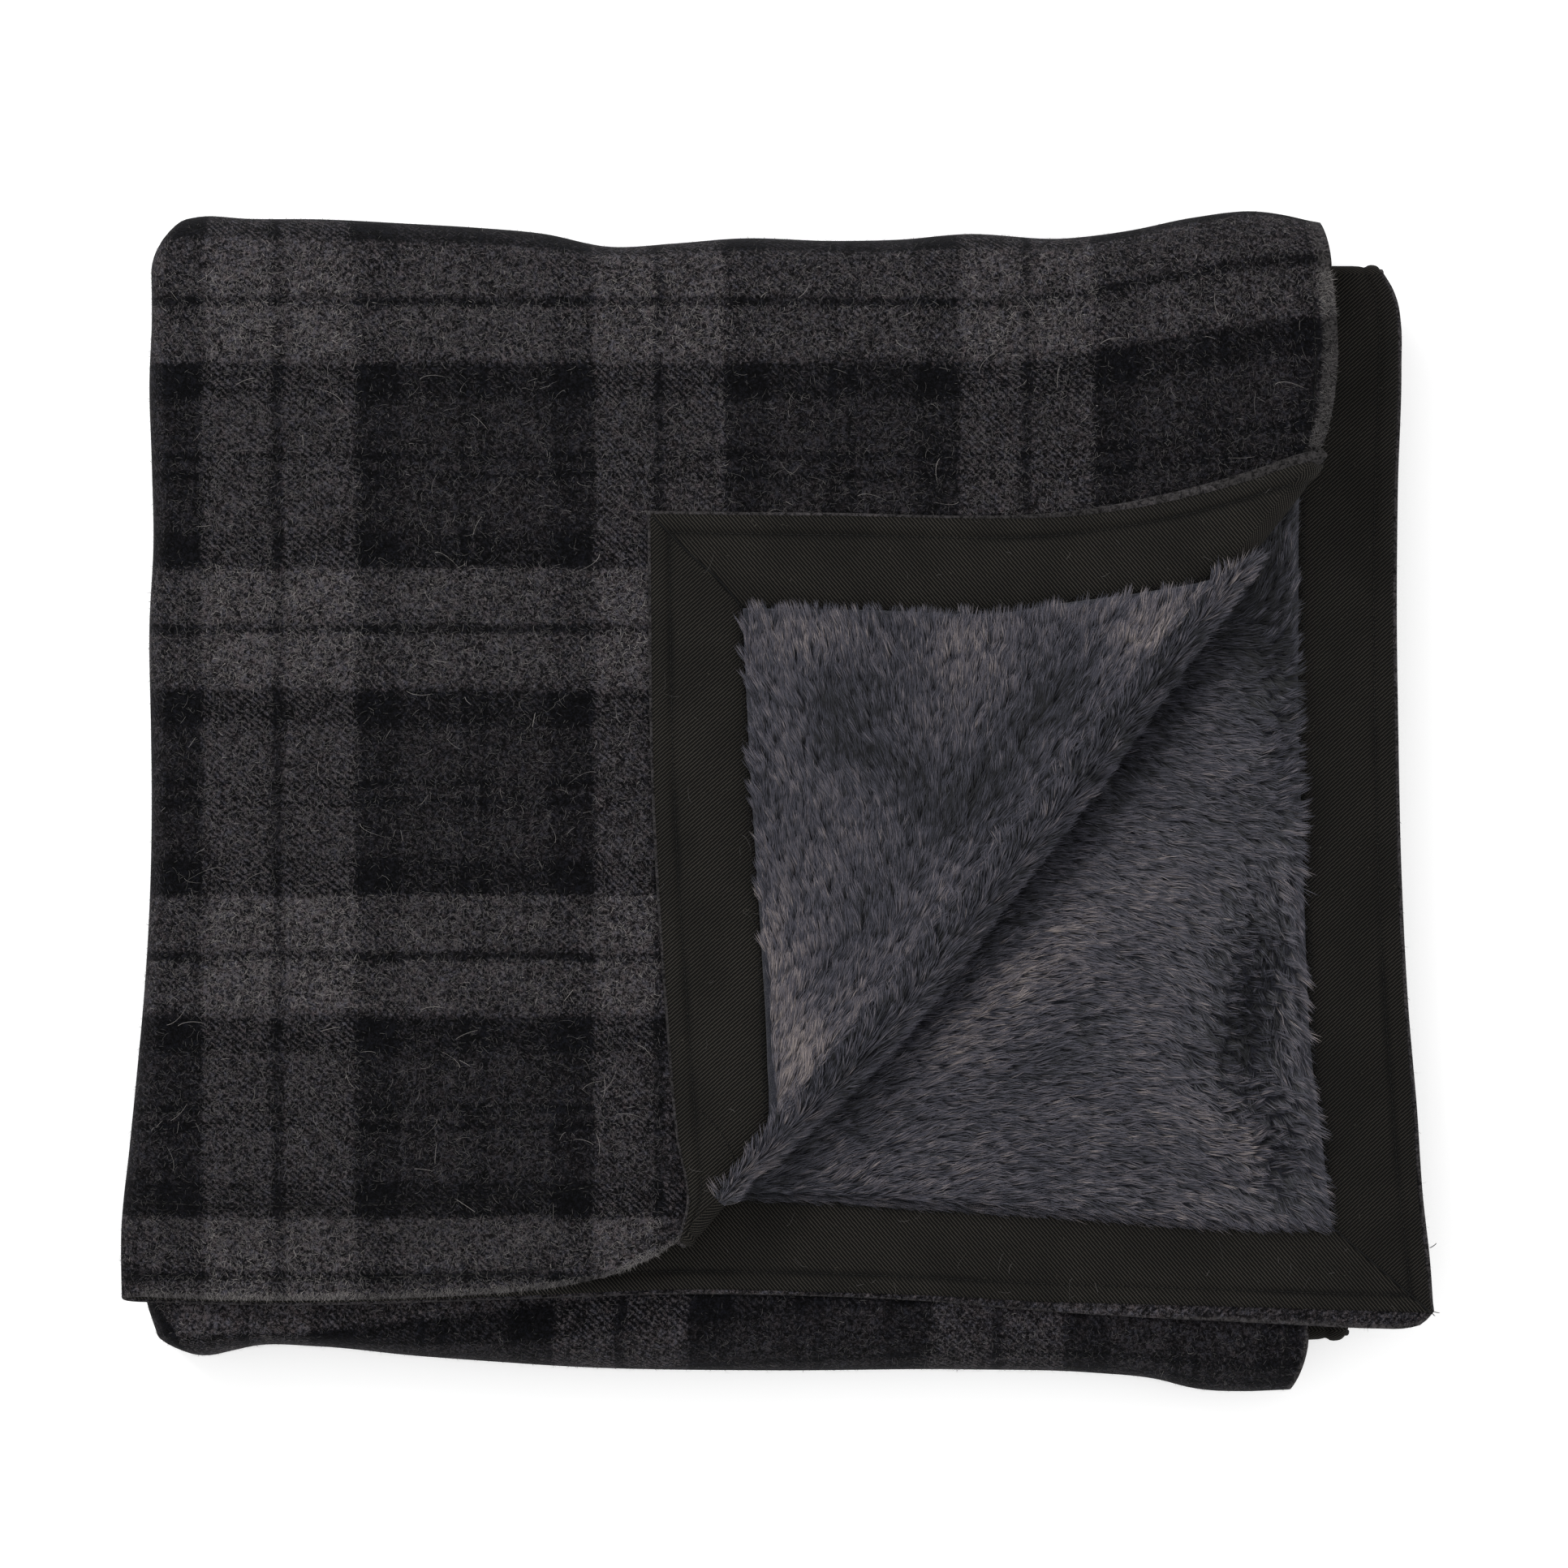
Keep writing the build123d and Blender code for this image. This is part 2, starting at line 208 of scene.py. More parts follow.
# Right edges of the wool, by sheet
EDGE_POINTS = {
    1: [(285.79, 187.52), (288.9, 196), (291.6, 206.5), (293.6, 219), (294.9, 233),
        (294.8, 247), (293.6, 264), (291.5, 282.1)],
    2: [(348, -269.4), (346.2, -244.2), (342.4, -209.8), (339.2, -162.5), (334.8, -110.9),
        (331.2, -46.4), (329, 39.6), (328.2, 99.8), (328.8, 168.6), (330.6, 233.1),
        (329.9, 256), (328, 267), (324.6, 275.5), (320.4, 282.1)],
    3: [(280.8, -280.4), (287.5, -190), (298, -90), (306, 20), (317, 130), (326.5, 230),
        (328.2, 256), (326.8, 267), (324, 275.5), (320.4, 282.1)],
    4: [(303.6, -280.4), (305.5, -180), (300, -60), (299, 70), (293, 200), (291.5, 282.1)],
    5: [(303.6, -280.4), (304.5, -170), (301, -40), (299.5, 90), (294, 210), (292.8, 287)],
    6: [(280.8, -280.4), (288, -190), (297, -80), (304, 60), (311, 200), (314.3, 287)],
}
EDGE = {number: Curve(points) for number, points in EDGE_POINTS.items()}
# Front edges of the wool
FRONT = {
    1: Curve([
        (-337, -259.6), (-300, -261.2), (-261.9, -261.6), (-205, -260.6), (-154.4, -258),
        (-111.4, -253.2), (-84, -246.4), (-66, -238.5), (-53, -230.4)]),
    2: Curve([
        (-337, -262.8), (-262, -264.6), (-154, -261.8), (-38, -258.6), (17.6, -259.6),
        (82, -262.6), (138, -267.4), (190, -270.8), (240, -273.2), (290, -275.8),
        (318, -277.4), (334, -277.4), (342.5, -275.2), (348, -269.4)]),
}


def band_inner(number, shared, end=()):
    """Right lining edge: the first points lie one band width in, end is measured."""
    points = [(x - BAND_WIDTH, y) for x, y in EDGE_POINTS[number][:shared]]
    return Curve(points + list(end))


# Right and front edges of the lining, which are the inner edges of the facing bands
INNER = {
    1: Curve([on_crease(LINING_TURN), (244.5, 200), (241.5, BACK_Y)]),
    2: Curve([
        (293.5, -223.6), (289, -180), (283, -132.4), (279.6, -60), (277.6, -3.4),
        (276.2, 39.6), (276.2, 110), (276.6, 168.6), (279, 230), (279.8, BACK_Y)]),
    3: band_inner(3, 5, [(277, 230), (279.8, BACK_Y)]),
    4: band_inner(4, 6),
    5: band_inner(5, 4, [(244, 180), (243, BASE_LINING_Y)]),
    6: band_inner(6, 4, [(261, 180), (263, BASE_LINING_Y)]),
}
INNER_FRONT_1 = [(-337, -210), (-200, -210.5), (-100, -209.5)]
INNER_FRONT = {
    1: Curve(INNER_FRONT_1 + [(-34.1, -207.1)]),
    2: Curve([
        (-337, -211.5), (-262, -213.5), (-154, -211.5), (0.4, -209), (60.6, -212.4),
        (146.6, -217), (224, -222), (293.5, -223.6)]),
}
# Outer edges of the bands on sheet 2
BAND_RIGHT_2 = Curve([
    (347.4, -270.2), (344, -240), (340.6, -209.8), (337.6, -162.5), (333.3, -110.9),
    (329.8, -46.4), (327.7, 39.6), (326.9, 99.8), (327.6, 168.6), (329.5, 233.1),
    (328.8, 256), (327, 267), (323.6, 275.5), (319.4, 282.1)])
BAND_FRONT_2 = Curve([
    (-337, -262.2), (-262, -264), (-154, -261.2), (-38.3, -256.9), (17.6, -258.2),
    (82.1, -260.3), (138, -263.4), (189.6, -264.8), (275.6, -267.2), (347.4, -270.2)])
# The turned corner: outer edges of its wool, then of its lining
CORNER_LEFT = Curve([
    (-53, -230.4), (-48, -212), (-53.3, -175.4), (-58.9, -110.9), (-65.8, -3.4),
    (-68.4, 154.8)])
CORNER_BACK = Curve([
    (-68.4, 154.8), (17.6, 153.9), (168.1, 156.5), (224, 168.4), (258, 178.6), (275, 184.6),
    (285.79, 187.52)])
CORNER_INNER_LEFT = Curve([
    on_crease(PILE_FROM), (-22, -203), (-10, -186), (-6, -171.1), (-6, -132.4), (-9, -75),
    (-14.6, 13.8), (-17, 60), (-18.9, 104.1)])
CORNER_INNER_BACK = Curve([
    (-18.9, 104.1), (50, 103), (120.8, 101.9), (146.6, 106.2), (190, 112), (224, 118),
    on_crease(PILE_TO)])
# Seams across the two mitred corners
TOP_MITRE = straight((347, -269.9), (293.8, -223.9), 40)
CORNER_MITRE = Curve([(-66.6, 152.9), (-46, 132), (-30.5, 118), (-19.2, 104.6)]).even(40)
CORNER_SHORT_SEAM = Curve([(-41.3, -160.8), (-34, -168), (-27, -178), (-22.4, -188.3)]).even(30)


# ---------- heights of the plaid faces ----------
def drop(distance, reach, start=62.0, end=22.0):
    """Sag towards an edge, from none at start to reach at end."""
    return reach * smooth((start - distance) / (start - end))


def side_drop(number, x, y, reach, wave, start, end):
    """Sag at the right edge. wave is its unevenness: height, noise row, spacing, seed."""
    height, row, spacing, seed = wave
    reach = reach + height * noise(y, row, spacing, seed)
    return drop(EDGE[number].x_of(y) - x, reach, start, end)


def near_back(y):
    return smooth((BACK_Y - y) / 60)


def near_front(y):
    return smooth((y - FRONT_Y) / 60)


def height_1(x, y):
    from_front = y - FRONT[1].y_of(x)
    from_right = EDGE[1].x_of(y) - x
    front_sag = drop(from_front, 4.0 + 11.5 * smooth((-70 - x) / 150))
    right_sag = drop(from_right, 6.5) * smooth((y - 170) / 40) * near_back(y)
    waves = 0.8 * noise(x, y, 150, 3) + 0.35 * noise(x, y, 48, 9, 1)
    z = 72.4 + waves - front_sag - right_sag
    # Line pressed in along the inner edge of the front band
    z = z - 1.4 * np.exp(-((from_front - 50) / 7) ** 2) * smooth((-60 - x) / 60)
    return z + 0.9 * noise(x, 0, 90, 5) * smooth((40 - from_front) / 30)


def height_2(x, y):
    sag = side_drop(2, x, y, 11.0, (2.0, 0, 120, 8), 64, 14)
    return 48.4 + 0.7 * noise(x, y, 170, 21) - sag * near_back(y)


def height_3(x, y):
    sag = side_drop(3, x, y, 14.5, (2.0, 3, 130, 12), 62, 14)
    return 48.2 + 0.7 * noise(x, y, 170, 21) - sag * near_back(y) * near_front(y)


def height_4(x, y):
    sag = side_drop(4, x, y, 8.0, (1.5, 5, 110, 14), 60, 12)
    return 24.2 + 0.5 * noise(x, y, 160, 33) - sag * near_back(y) * near_front(y)


def height_5(x, y):
    sag = side_drop(5, x, y, 10.5, (1.5, 5, 110, 14), 62, 14)
    z = 24.0 + 0.5 * noise(x, y, 160, 33) - sag * near_front(y)
    return z - drop(BASE_BACK_Y - y, 9.0 + 1.5 * noise(x, 2, 120, 15), 60, 18)


def height_6(x, y):
    return side_drop(6, x, y, 1.2, (1.0, 8, 100, 18), 30, 2) * near_front(y)


def corner_height(x, y):
    """The corner's plaid face lies down on sheet 1 and rises towards the crease."""
    return height_1(x, y) + 0.3 + 6.0 * smooth(1 + crease_out(x, y) / 70)


HEIGHT = {1: height_1, 2: height_2, 3: height_3, 4: height_4, 5: height_5, 6: height_6,
          "corner": corner_height}


def on_sheet(sheet, plan, depth=0.0):
    """Points in space over plan points, at a depth in from the sheet's plaid face."""
    z = HEIGHT[sheet](*split(plan)) + PILE_SIDE[sheet] * depth
    return np.concatenate([plan, z[..., None]], -1)


# ---------- mesh building ----------
def mesh_object(name, verts, faces, uv, material, layer="Cloth", attributes=None, sharp=()):
    """verts in mm, faces a list of index arrays, uv and attributes by vertex."""
    mesh = bpy.data.meshes.new(name)
    loops = np.concatenate([part.ravel() for part in faces]).astype(np.int32)
    sizes = np.concatenate([np.full(len(part), part.shape[1]) for part in faces])
    starts = np.r_[0, np.cumsum(sizes)[:-1]].astype(np.int32)
    mesh.vertices.add(len(verts))
    mesh.loops.add(len(loops))
    mesh.polygons.add(len(sizes))
    coordinates = (np.asarray(verts, float) * METRES).astype(np.float32)
    mesh.vertices.foreach_set("co", coordinates.ravel())
    mesh.loops.foreach_set("vertex_index", loops)
    mesh.polygons.foreach_set("loop_start", starts)
    mesh.update(calc_edges=True)
    uv_layer = mesh.uv_layers.new(name=layer)
    uv_layer.data.foreach_set("uv", np.asarray(uv, np.float32)[loops].ravel())
    for key, values in (attributes or {}).items():
        attribute = mesh.attributes.new(key, "FLOAT", "POINT")
        attribute.data.foreach_set("value", np.asarray(values, np.float32))
    mesh.polygons.foreach_set("use_smooth", np.ones(len(sizes), bool))
    if len(sharp):
        ends = np.zeros(len(mesh.edges) * 2, np.int32)
        mesh.edges.foreach_get("vertices", ends)
        ends = np.sort(ends.reshape(-1, 2), axis=1).astype(np.int64)
        sharp = np.sort(np.asarray(sharp, np.int64), axis=1)
        count = len(verts)
        flags = np.isin(ends[:, 0] * count + ends[:, 1], sharp[:, 0] * count + sharp[:, 1])
        attribute = (mesh.attributes.get("sharp_edge")
                     or mesh.attributes.new("sharp_edge", "BOOLEAN", "EDGE"))
        attribute.data.foreach_set("value", flags)
    mesh.validate()
    obj = bpy.data.objects.new(name, mesh)
    bpy.context.scene.collection.objects.link(obj)
    mesh.materials.append(material)
    return obj


def ride(obj, body):
    """Follow one body; given two bodies, bake the world transform into the mesh and follow
    neither.
    """
    if isinstance(body, str):
        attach(obj, body)
        return
    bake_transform(obj)


def perimeter(rows, cols):
    """Grid places once round the edge, and their side: 0 front, 1 right, 2 back, 3 left."""
    wide, deep = cols - 1, rows - 1
    row = np.concatenate([np.zeros(wide, int), np.arange(deep), np.full(wide, deep),
                          np.arange(deep, 0, -1)])
    col = np.concatenate([np.arange(wide), np.full(deep, wide), np.arange(wide, 0, -1),
                          np.zeros(deep, int)])
    return row, col, np.repeat(np.arange(4), [wide, deep, wide, deep])


def shell(outer, inner, uv, bulge, rings, attributes, flat_right):
    """Closed sheet between two grids.

    bulge is how far each side of the perimeter is rounded, 0 for a cut edge. The right side
    is cut as well up to row flat_right.
    """
    rows, cols = outer.shape[:2]
    count = rows * cols
    grid = np.arange(count).reshape(rows, cols)
    quads = np.stack([grid[:-1, :-1], grid[:-1, 1:], grid[1:, 1:], grid[1:, :-1]], -1)
    quads = quads.reshape(-1, 4)
    faces = [quads, quads[:, ::-1] + count]
    row, col, side = perimeter(rows, cols)
    top, bottom = outer[row, col], inner[row, col]
    inward = outer[np.clip(row, 1, rows - 2), np.clip(col, 1, cols - 2)] - top
    across = top - bottom
    thick = np.linalg.norm(across, axis=1, keepdims=True)
    normal = across / np.maximum(thick, 1e-6)
    outward = -inward + normal * (inward * normal).sum(1, keepdims=True)
    outward /= np.maximum(np.linalg.norm(outward, axis=1, keepdims=True), 1e-6)
    round_off = np.array(bulge, float)[side]
    round_off[(side == 1) & (row <= flat_right)] = 0.0

    verts = [outer.reshape(-1, 3), inner.reshape(-1, 3)]
    around = len(row)
    ring_ids = [grid[row, col]]
    for ring in range(1, rings + 1):
        angle = math.pi / 2 - math.pi * ring / (rings + 1)
        reach = outward * thick / 2 * math.cos(angle) * round_off[:, None]
        verts.append((top + bottom) / 2 + across / 2 * math.sin(angle) + reach)
        ring_ids.append(2 * count + (ring - 1) * around + np.arange(around))
    ring_ids.append(grid[row, col] + count)
    for upper, lower in zip(ring_ids[:-1], ring_ids[1:]):
        faces.append(np.stack([upper, lower, np.roll(lower, -1), np.roll(upper, -1)], -1))
    cut = round_off < 0.05
    cut = cut | np.roll(cut, -1)
    sharp = [np.stack([ids, np.roll(ids, -1)], 1)[cut] for ids in (ring_ids[0], ring_ids[-1])]

    vertex_uv = np.vstack([uv.reshape(-1, 2)] * 2 + [uv[row, col]] * rings)
    vertex_values = {key: np.concatenate([values.reshape(-1)] * 2 + [values[row, col]] * rings)
                     for key, values in attributes.items()}
    vertex_values["rim"] = np.r_[np.zeros(2 * count), np.ones(rings * around)]
    return np.vstack(verts), faces, vertex_uv, vertex_values, np.vstack(sharp)


def face_outwards(obj):
    work = bmesh.new()
    work.from_mesh(obj.data)
    bmesh.ops.recalc_face_normals(work, faces=work.faces)
    work.to_mesh(obj.data)
    work.free()


def add_shell(slot, name, layers, uv, replaces, body, bulge=None, attributes=None,
              flat_right=-1, material=None):
    """Sheet between two layers; slot decides its material, edge rings and usual bulge."""
    usual_material, rings, usual_bulge = SHELLS[slot]
    verts, faces, vertex_uv, values, sharp = shell(
        *layers, uv, bulge or usual_bulge, rings, attributes or {}, flat_right)
    obj = mesh_object(name, verts, faces, vertex_uv, material or usual_material,
                      attributes=values, sharp=sharp)
    face_outwards(obj)
    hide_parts(*replaces)
    ride(obj, body)


# ---------- materials ----------
class Value:
    """Output of a shader node. Arithmetic on it adds math nodes."""

    def __init__(self, graph, socket):
        self.graph, self.socket = graph, socket

    def __add__(self, other):
        return self.graph.math("ADD", self, other)

    def __sub__(self, other):
        return self.graph.math("SUBTRACT", self, other)

    def __mul__(self, other):
        return self.graph.math("MULTIPLY", self, other)

    def __truediv__(self, other):
        return self.graph.math("DIVIDE", self, other)

    def __rpow__(self, base):
        return self.graph.math("POWER", base, self)

    def __abs__(self):
        return self.graph.math("ABSOLUTE", self)


class Graph:
    """Material with a Principled shader. Inputs may be numbers, colours or Values."""

    def __init__(self, name):
        self.material = bpy.data.materials.new(name)
        self.material.use_nodes = True
        self.tree = self.material.node_tree
        self.tree.nodes.clear()
        output = self.tree.nodes.new("ShaderNodeOutputMaterial")
        self.shader = self.tree.nodes.new("ShaderNodeBsdfPrincipled")
        self.tree.links.new(self.shader.outputs[0], output.inputs[0])

    def put(self, socket, value):
        if isinstance(value, Value):
            self.tree.links.new(value.socket, socket)
        else:
            socket.default_value = value

    def add(self, kind, inputs, output=0, **settings):
        """New node. inputs maps socket numbers or names to values."""
        node = self.tree.nodes.new("ShaderNode" + kind)
        for key, setting in settings.items():
            setattr(node, key, setting)
        for key, value in inputs.items():
            self.put(node.inputs[key], value)
        return Value(self, node.outputs[output])

    def math(self, operation, first, second=0.0, clamp=False):
        return self.add("Math", {0: first, 1: second, 2: 0.0}, operation=operation,
                        use_clamp=clamp)

    def larger(self, first, second):
        return self.math("MAXIMUM", first, second)

    def step(self, value, span, to=(0.0, 1.0)):
        """Smooth step over span, giving values from to[0] to to[1]."""
        return self.add("MapRange", dict(enumerate((value, *span, *to))),
                        interpolation_type="SMOOTHSTEP")

    def mix(self, share, first, second, mode="MIX"):
        return self.add("Mix", {0: share, 6: first, 7: second}, 2, data_type="RGBA",
                        blend_type=mode)

    def between(self, share, low, high):
        return self.add("Mix", {0: share, 2: low, 3: high}, data_type="FLOAT")

    def noise(self, scale, detail=2.0, rough=0.5, distort=0.0):
        return self.add("TexNoise", {"Vector": self.position, "Scale": scale, "Detail": detail,
                                     "Roughness": rough, "Distortion": distort})

    def wave(self, value, period):
        return self.math("SINE", value * (2 * math.pi / period))

    def ramp(self, value, stops):
        """Stops are (position, grey or colour)."""
        ramp = self.add("ValToRGB", {})
        elements = ramp.socket.node.color_ramp.elements
        while len(elements) < len(stops):
            elements.new(0.5)
        for element, (position, color) in zip(elements, stops):
            element.position = position
            element.color = color if isinstance(color, tuple) else (color, color, color, 1)
        self.put(ramp.socket.node.inputs[0], value)
        return ramp

    @cached_property
    def position(self):
        return self.add("TexCoord", {}, "Object")

    def uv(self, name):
        parts = self.add("SeparateXYZ", {0: self.add("UVMap", {}, uv_map=name)})
        return parts, Value(self, parts.socket.node.outputs[1])

    def cloth_mm(self):
        u, v = self.uv("Cloth")
        return u * 1000.0, v * 1000.0

    def attribute(self, name):
        return self.add("Attribute", {}, "Fac", attribute_name=name)

    def bump(self, height, distance, strength):
        return self.add("Bump", {"Strength": strength, "Distance": distance, "Height": height})

    def finish(self, color, rough, normal=None, spec=0.3, sheen=0.0, sheen_rough=0.5,
               sheen_tint=(1, 1, 1, 1)):
        values = {"Base Color": color, "Roughness": rough, "Specular IOR Level": spec,
                  "Sheen Weight": sheen, "Sheen Roughness": sheen_rough,
                  "Sheen Tint": sheen_tint}
        if normal is not None:
            values["Normal"] = normal
        for key, value in values.items():
            self.put(self.shader.inputs[key], value)
        return self.material


def srgb(*levels):
    """Linear colour from display levels 0 to 255."""
    shares = [level / 255 for level in levels]
    return (*(share / 12.92 if share <= 0.04045 else ((share + 0.055) / 1.055) ** 2.4
              for share in shares), 1)


# The plaid is mirrored about each half repeat, in mm across and along the cloth
HALF_REPEAT_U, HALF_REPEAT_V = 100.0, 86.25
GREY, BLACK, LIGHT = 0.31, 0.0, 1.0
WARP_STRIPES = [  # share of the half repeat, tone
    (0.0, 0.05), (0.020, 0.10), (0.036, LIGHT), (0.343, LIGHT), (0.364, BLACK), (0.585, BLACK),
    (0.605, GREY), (0.915, GREY), (0.932, BLACK), (0.966, BLACK), (0.982, GREY)]
WEFT_STRIPES = [
    (0.0, 0.05), (0.022, 0.10), (0.040, LIGHT), (0.360, LIGHT), (0.384, BLACK), (0.585, BLACK),
    (0.605, GREY), (0.905, GREY), (0.924, BLACK), (0.960, BLACK), (0.978, GREY)]


def wool_material():
    graph = Graph("plaid wool")
    u, v = graph.cloth_mm()
    # Stripe borders wander by a few millimetres
    wobble = graph.noise(scale=620, rough=0.6)
    drift = graph.noise(scale=22, detail=1.0)
    shift = (wobble - 0.5) * 9.0 + (drift - 0.5) * 3.0
    share_u = graph.math("PINGPONG", u + shift, HALF_REPEAT_U) / HALF_REPEAT_U
    share_v = graph.math("PINGPONG", v + shift, HALF_REPEAT_V) / HALF_REPEAT_V
    warp = graph.ramp(share_u, WARP_STRIPES)
    weft = graph.ramp(share_v, WEFT_STRIPES)
    # Diagonal twill ribs, half hidden by the raised nap
    diagonal = u + v * 1.05
    rib = graph.step(graph.wave(diagonal + (wobble - 0.5) * 5.5, period=3.6), span=(-1.0, 1.0))
    lump = graph.noise(scale=330, rough=0.6, distort=0.8)
    over = graph.math("ADD", graph.between(rib, low=0.04, high=0.80), (lump - 0.5) * 1.0,
                      clamp=True)
    tone = graph.between(over, low=weft, high=warp)
    fibre = graph.noise(scale=900, rough=0.75, distort=1.2)
    blot = graph.noise(scale=480, rough=0.7, distort=1.0)
    broad = graph.noise(scale=60, detail=3.0, rough=0.6)
    line = graph.noise(scale=430, rough=0.6, distort=2.8)
    hair = graph.step(abs(line - 0.5), span=(0.034, 0.004))
    # Brightness varies in powers of two: noise of five sizes, each with its own strength
    power = ((fibre - 0.5) * 14.0 + (blot - 0.5) * 13.2 + (broad - 0.5) * 2.6
             + (graph.noise(scale=175, rough=0.6) - 0.5) * 3.4 + (rib - 0.5) * 0.5)
    gain = 2.0 ** graph.math("MINIMUM", graph.larger(power, -3.4), 1.95)
    color = graph.mix(tone, srgb(4.9, 5.0, 6.9), srgb(37.0, 34.9, 37.5))
    color = graph.add("VectorMath", {0: color, "Scale": gain}, operation="SCALE")
    tint = graph.ramp(graph.noise(scale=300, rough=0.6), [
        (0.30, (0.90, 0.98, 1.10, 1)), (0.5, (1.0, 1.0, 1.0, 1)), (0.70, (1.12, 1.0, 0.94, 1))])
    color = graph.mix(1.0, color, tint, "MULTIPLY")
    hair_color = graph.mix(tone, srgb(32, 31.5, 33), srgb(108, 103, 101))
    hair_share = (hair * graph.step(blot, span=(0.40, 0.62))
                  * graph.between(tone, low=0.25, high=0.62))
    color = graph.mix(hair_share, color, hair_color)
    # Lighter fuzzy nap along the cut edge, with a painted highlight on the rounded edge and on
    # the raised strip beside the right edge of sheet 1
    edge = graph.attribute("edge")
    fuzz_and_highlight = graph.larger(graph.attribute("rim"), graph.attribute("fuzz_and_highlight"))
    fuzz_and_highlight = graph.larger(fuzz_and_highlight, graph.step(edge, span=(2.2, 0.2)))
    fuzz_and_highlight_share = fuzz_and_highlight * graph.step(blot, span=(0.36, 0.60), to=(0.10, 0.62))
    color = graph.mix(fuzz_and_highlight_share, color, srgb(70, 67.5, 67))
    # The seams press two lines into the cloth, 10 and 49 mm from the edge; the colour is darkened
    # along them as painted shade in the grooves
    press = graph.larger(graph.step(abs(edge - 10.0), span=(1.5, 0.0)),
                         graph.step(abs(edge - 49.0), span=(2.4, 0.0)) * 0.6)
    color = graph.mix(press * 0.5, color, srgb(11, 11, 12))
    height = fibre * 0.7 + blot * 1.0 + rib * 0.12 - press * 0.9
    return graph.finish(color, rough=0.95,
                        normal=graph.bump(height, distance=0.0011, strength=0.8),
                        spec=0.05, sheen=0.03, sheen_rough=0.6, sheen_tint=(0.8, 0.8, 0.85, 1))


def fibre_material():
    """Single wool fibres: tone across, root to tip along."""
    graph = Graph("wool fibre")
    tone, along = graph.uv("OFBake")
    color = graph.ramp(tone, [
        (0.0, srgb(24, 24, 26)), (0.5, srgb(66, 64, 65)), (1.0, srgb(150, 145, 142))])
    color = graph.mix(along * 0.25, color, srgb(170, 166, 162))
    return graph.finish(color, rough=0.8, spec=0.2)


def pile_material():
    """Pile strands: tone across, root to tip along."""
    graph = Graph("pile strands")
    tone, along = graph.uv("OFBake")
    color = graph.ramp(tone, [
        (0.0, srgb(14, 15, 19)), (0.22, srgb(45, 46, 56)), (0.5, srgb(81, 80, 91)),
        (0.75, srgb(114, 107, 111)), (1.0, srgb(157, 146, 142))])
    # Painted shade: strands are darkest at their roots, deep in the pile, and brightest at their
    # tips
    gain = graph.ramp(along, [(0.0, 0.20), (0.30, 0.50), (0.66, 0.92), (1.0, 1.30)])
    return graph.finish(graph.mix(1.0, color, gain, "MULTIPLY"), rough=0.55, spec=0.42,
                        sheen=0.1, sheen_rough=0.4)


def pile_ground_material():
    graph = Graph("pile ground")
    coarse = graph.noise(scale=160, detail=3.0, rough=0.6, distort=0.5)
    fine = graph.noise(scale=1100, rough=0.6)
    # Dark ground, partly its own colour and partly painted shade under the pile
    color = graph.ramp(coarse * 0.6 + fine * 0.4, [
        (0.25, srgb(18, 19, 24)), (0.5, srgb(40, 41, 49)), (0.75, srgb(66, 65, 72))])
    normal = graph.bump(coarse + fine, distance=0.002, strength=0.8)
    return graph.finish(color, rough=0.9, normal=normal, spec=0.1, sheen=0.1)


def band_material(name, dark, light):
    graph = Graph(name)
    u, v = graph.cloth_mm()
    wobble = graph.noise(scale=500, detail=1.0)
    # Steep twill ribs, crossed by finer threads
    diagonal = u * 0.76 + v * 0.65 + (wobble - 0.5) * 0.5
    rib = graph.wave(diagonal, period=1.56)
    cross = graph.wave(u * 0.62 - v * 0.80, period=0.95)
    weave = graph.larger(graph.step(rib, span=(0.0, 0.95)) + cross * 0.20, 0.0)
    soft = graph.noise(scale=30)
    grain = graph.noise(scale=900, rough=0.6)
    speck = graph.step(graph.noise(scale=420, distort=1.5), span=(0.735, 0.76))
    color = graph.mix(weave * graph.between(grain, low=0.55, high=1.45), dark, light)
    shade = (*(level * 0.6 for level in dark[:3]), 1)
    color = graph.mix(graph.step(soft, span=(0.3, 0.7)) * 0.30, color, shade)
    color = graph.mix(speck * 0.45, color, srgb(76, 73, 67))
    # Painted shade in the grooves under the stitching, broken up along their run
    pull = graph.noise(scale=260, rough=0.6)
    run = graph.noise(scale=16, detail=1.0)
    groove_shade = (graph.attribute("groove_shade") * graph.step(run, span=(0.38, 0.60), to=(0.15, 0.9))
              * graph.step(pull, span=(0.30, 0.55), to=(0.5, 0.95)))
    color = graph.mix(groove_shade, color, srgb(4, 4, 4))
    return graph.finish(color, rough=graph.between(weave, low=0.85, high=0.6),
                        normal=graph.bump(weave, distance=0.0003, strength=0.6), spec=0.12)


def thread_and_shade_material(dark, light):
    graph = Graph("sewing thread and gap shade")
    grain = graph.noise(scale=2500, detail=1.0)
    color = graph.ramp(grain, [(0.3, dark), (0.7, light)])
    return graph.finish(color, rough=0.6,
                        normal=graph.bump(grain, distance=0.0002, strength=0.4), spec=0.2)


WOOL_MATERIAL = wool_material()
FIBRE_MATERIAL = fibre_material()
PILE_MATERIAL = pile_material()
GROUND_MATERIAL = pile_ground_material()
BAND_MATERIAL = band_material("twill facing", srgb(0.8, 0.8, 0.7), srgb(53.0, 49.9, 45.2))
# A darker copy of the same twill for the right band on sheet 2: painted shade
SHADED_BAND_MATERIAL = band_material("twill facing, shaded copy", srgb(0.6, 0.6, 0.5),
                                    srgb(45.5, 42.6, 38.4))
THREAD_MATERIAL = thread_and_shade_material(srgb(6, 6, 5.5), srgb(24, 23, 21))
# Near-black for the lines where the mitred bands meet: painted shade
GAP_SHADE_MATERIAL = thread_and_shade_material(srgb(1.5, 1.5, 1.5), srgb(5, 5, 4.6))

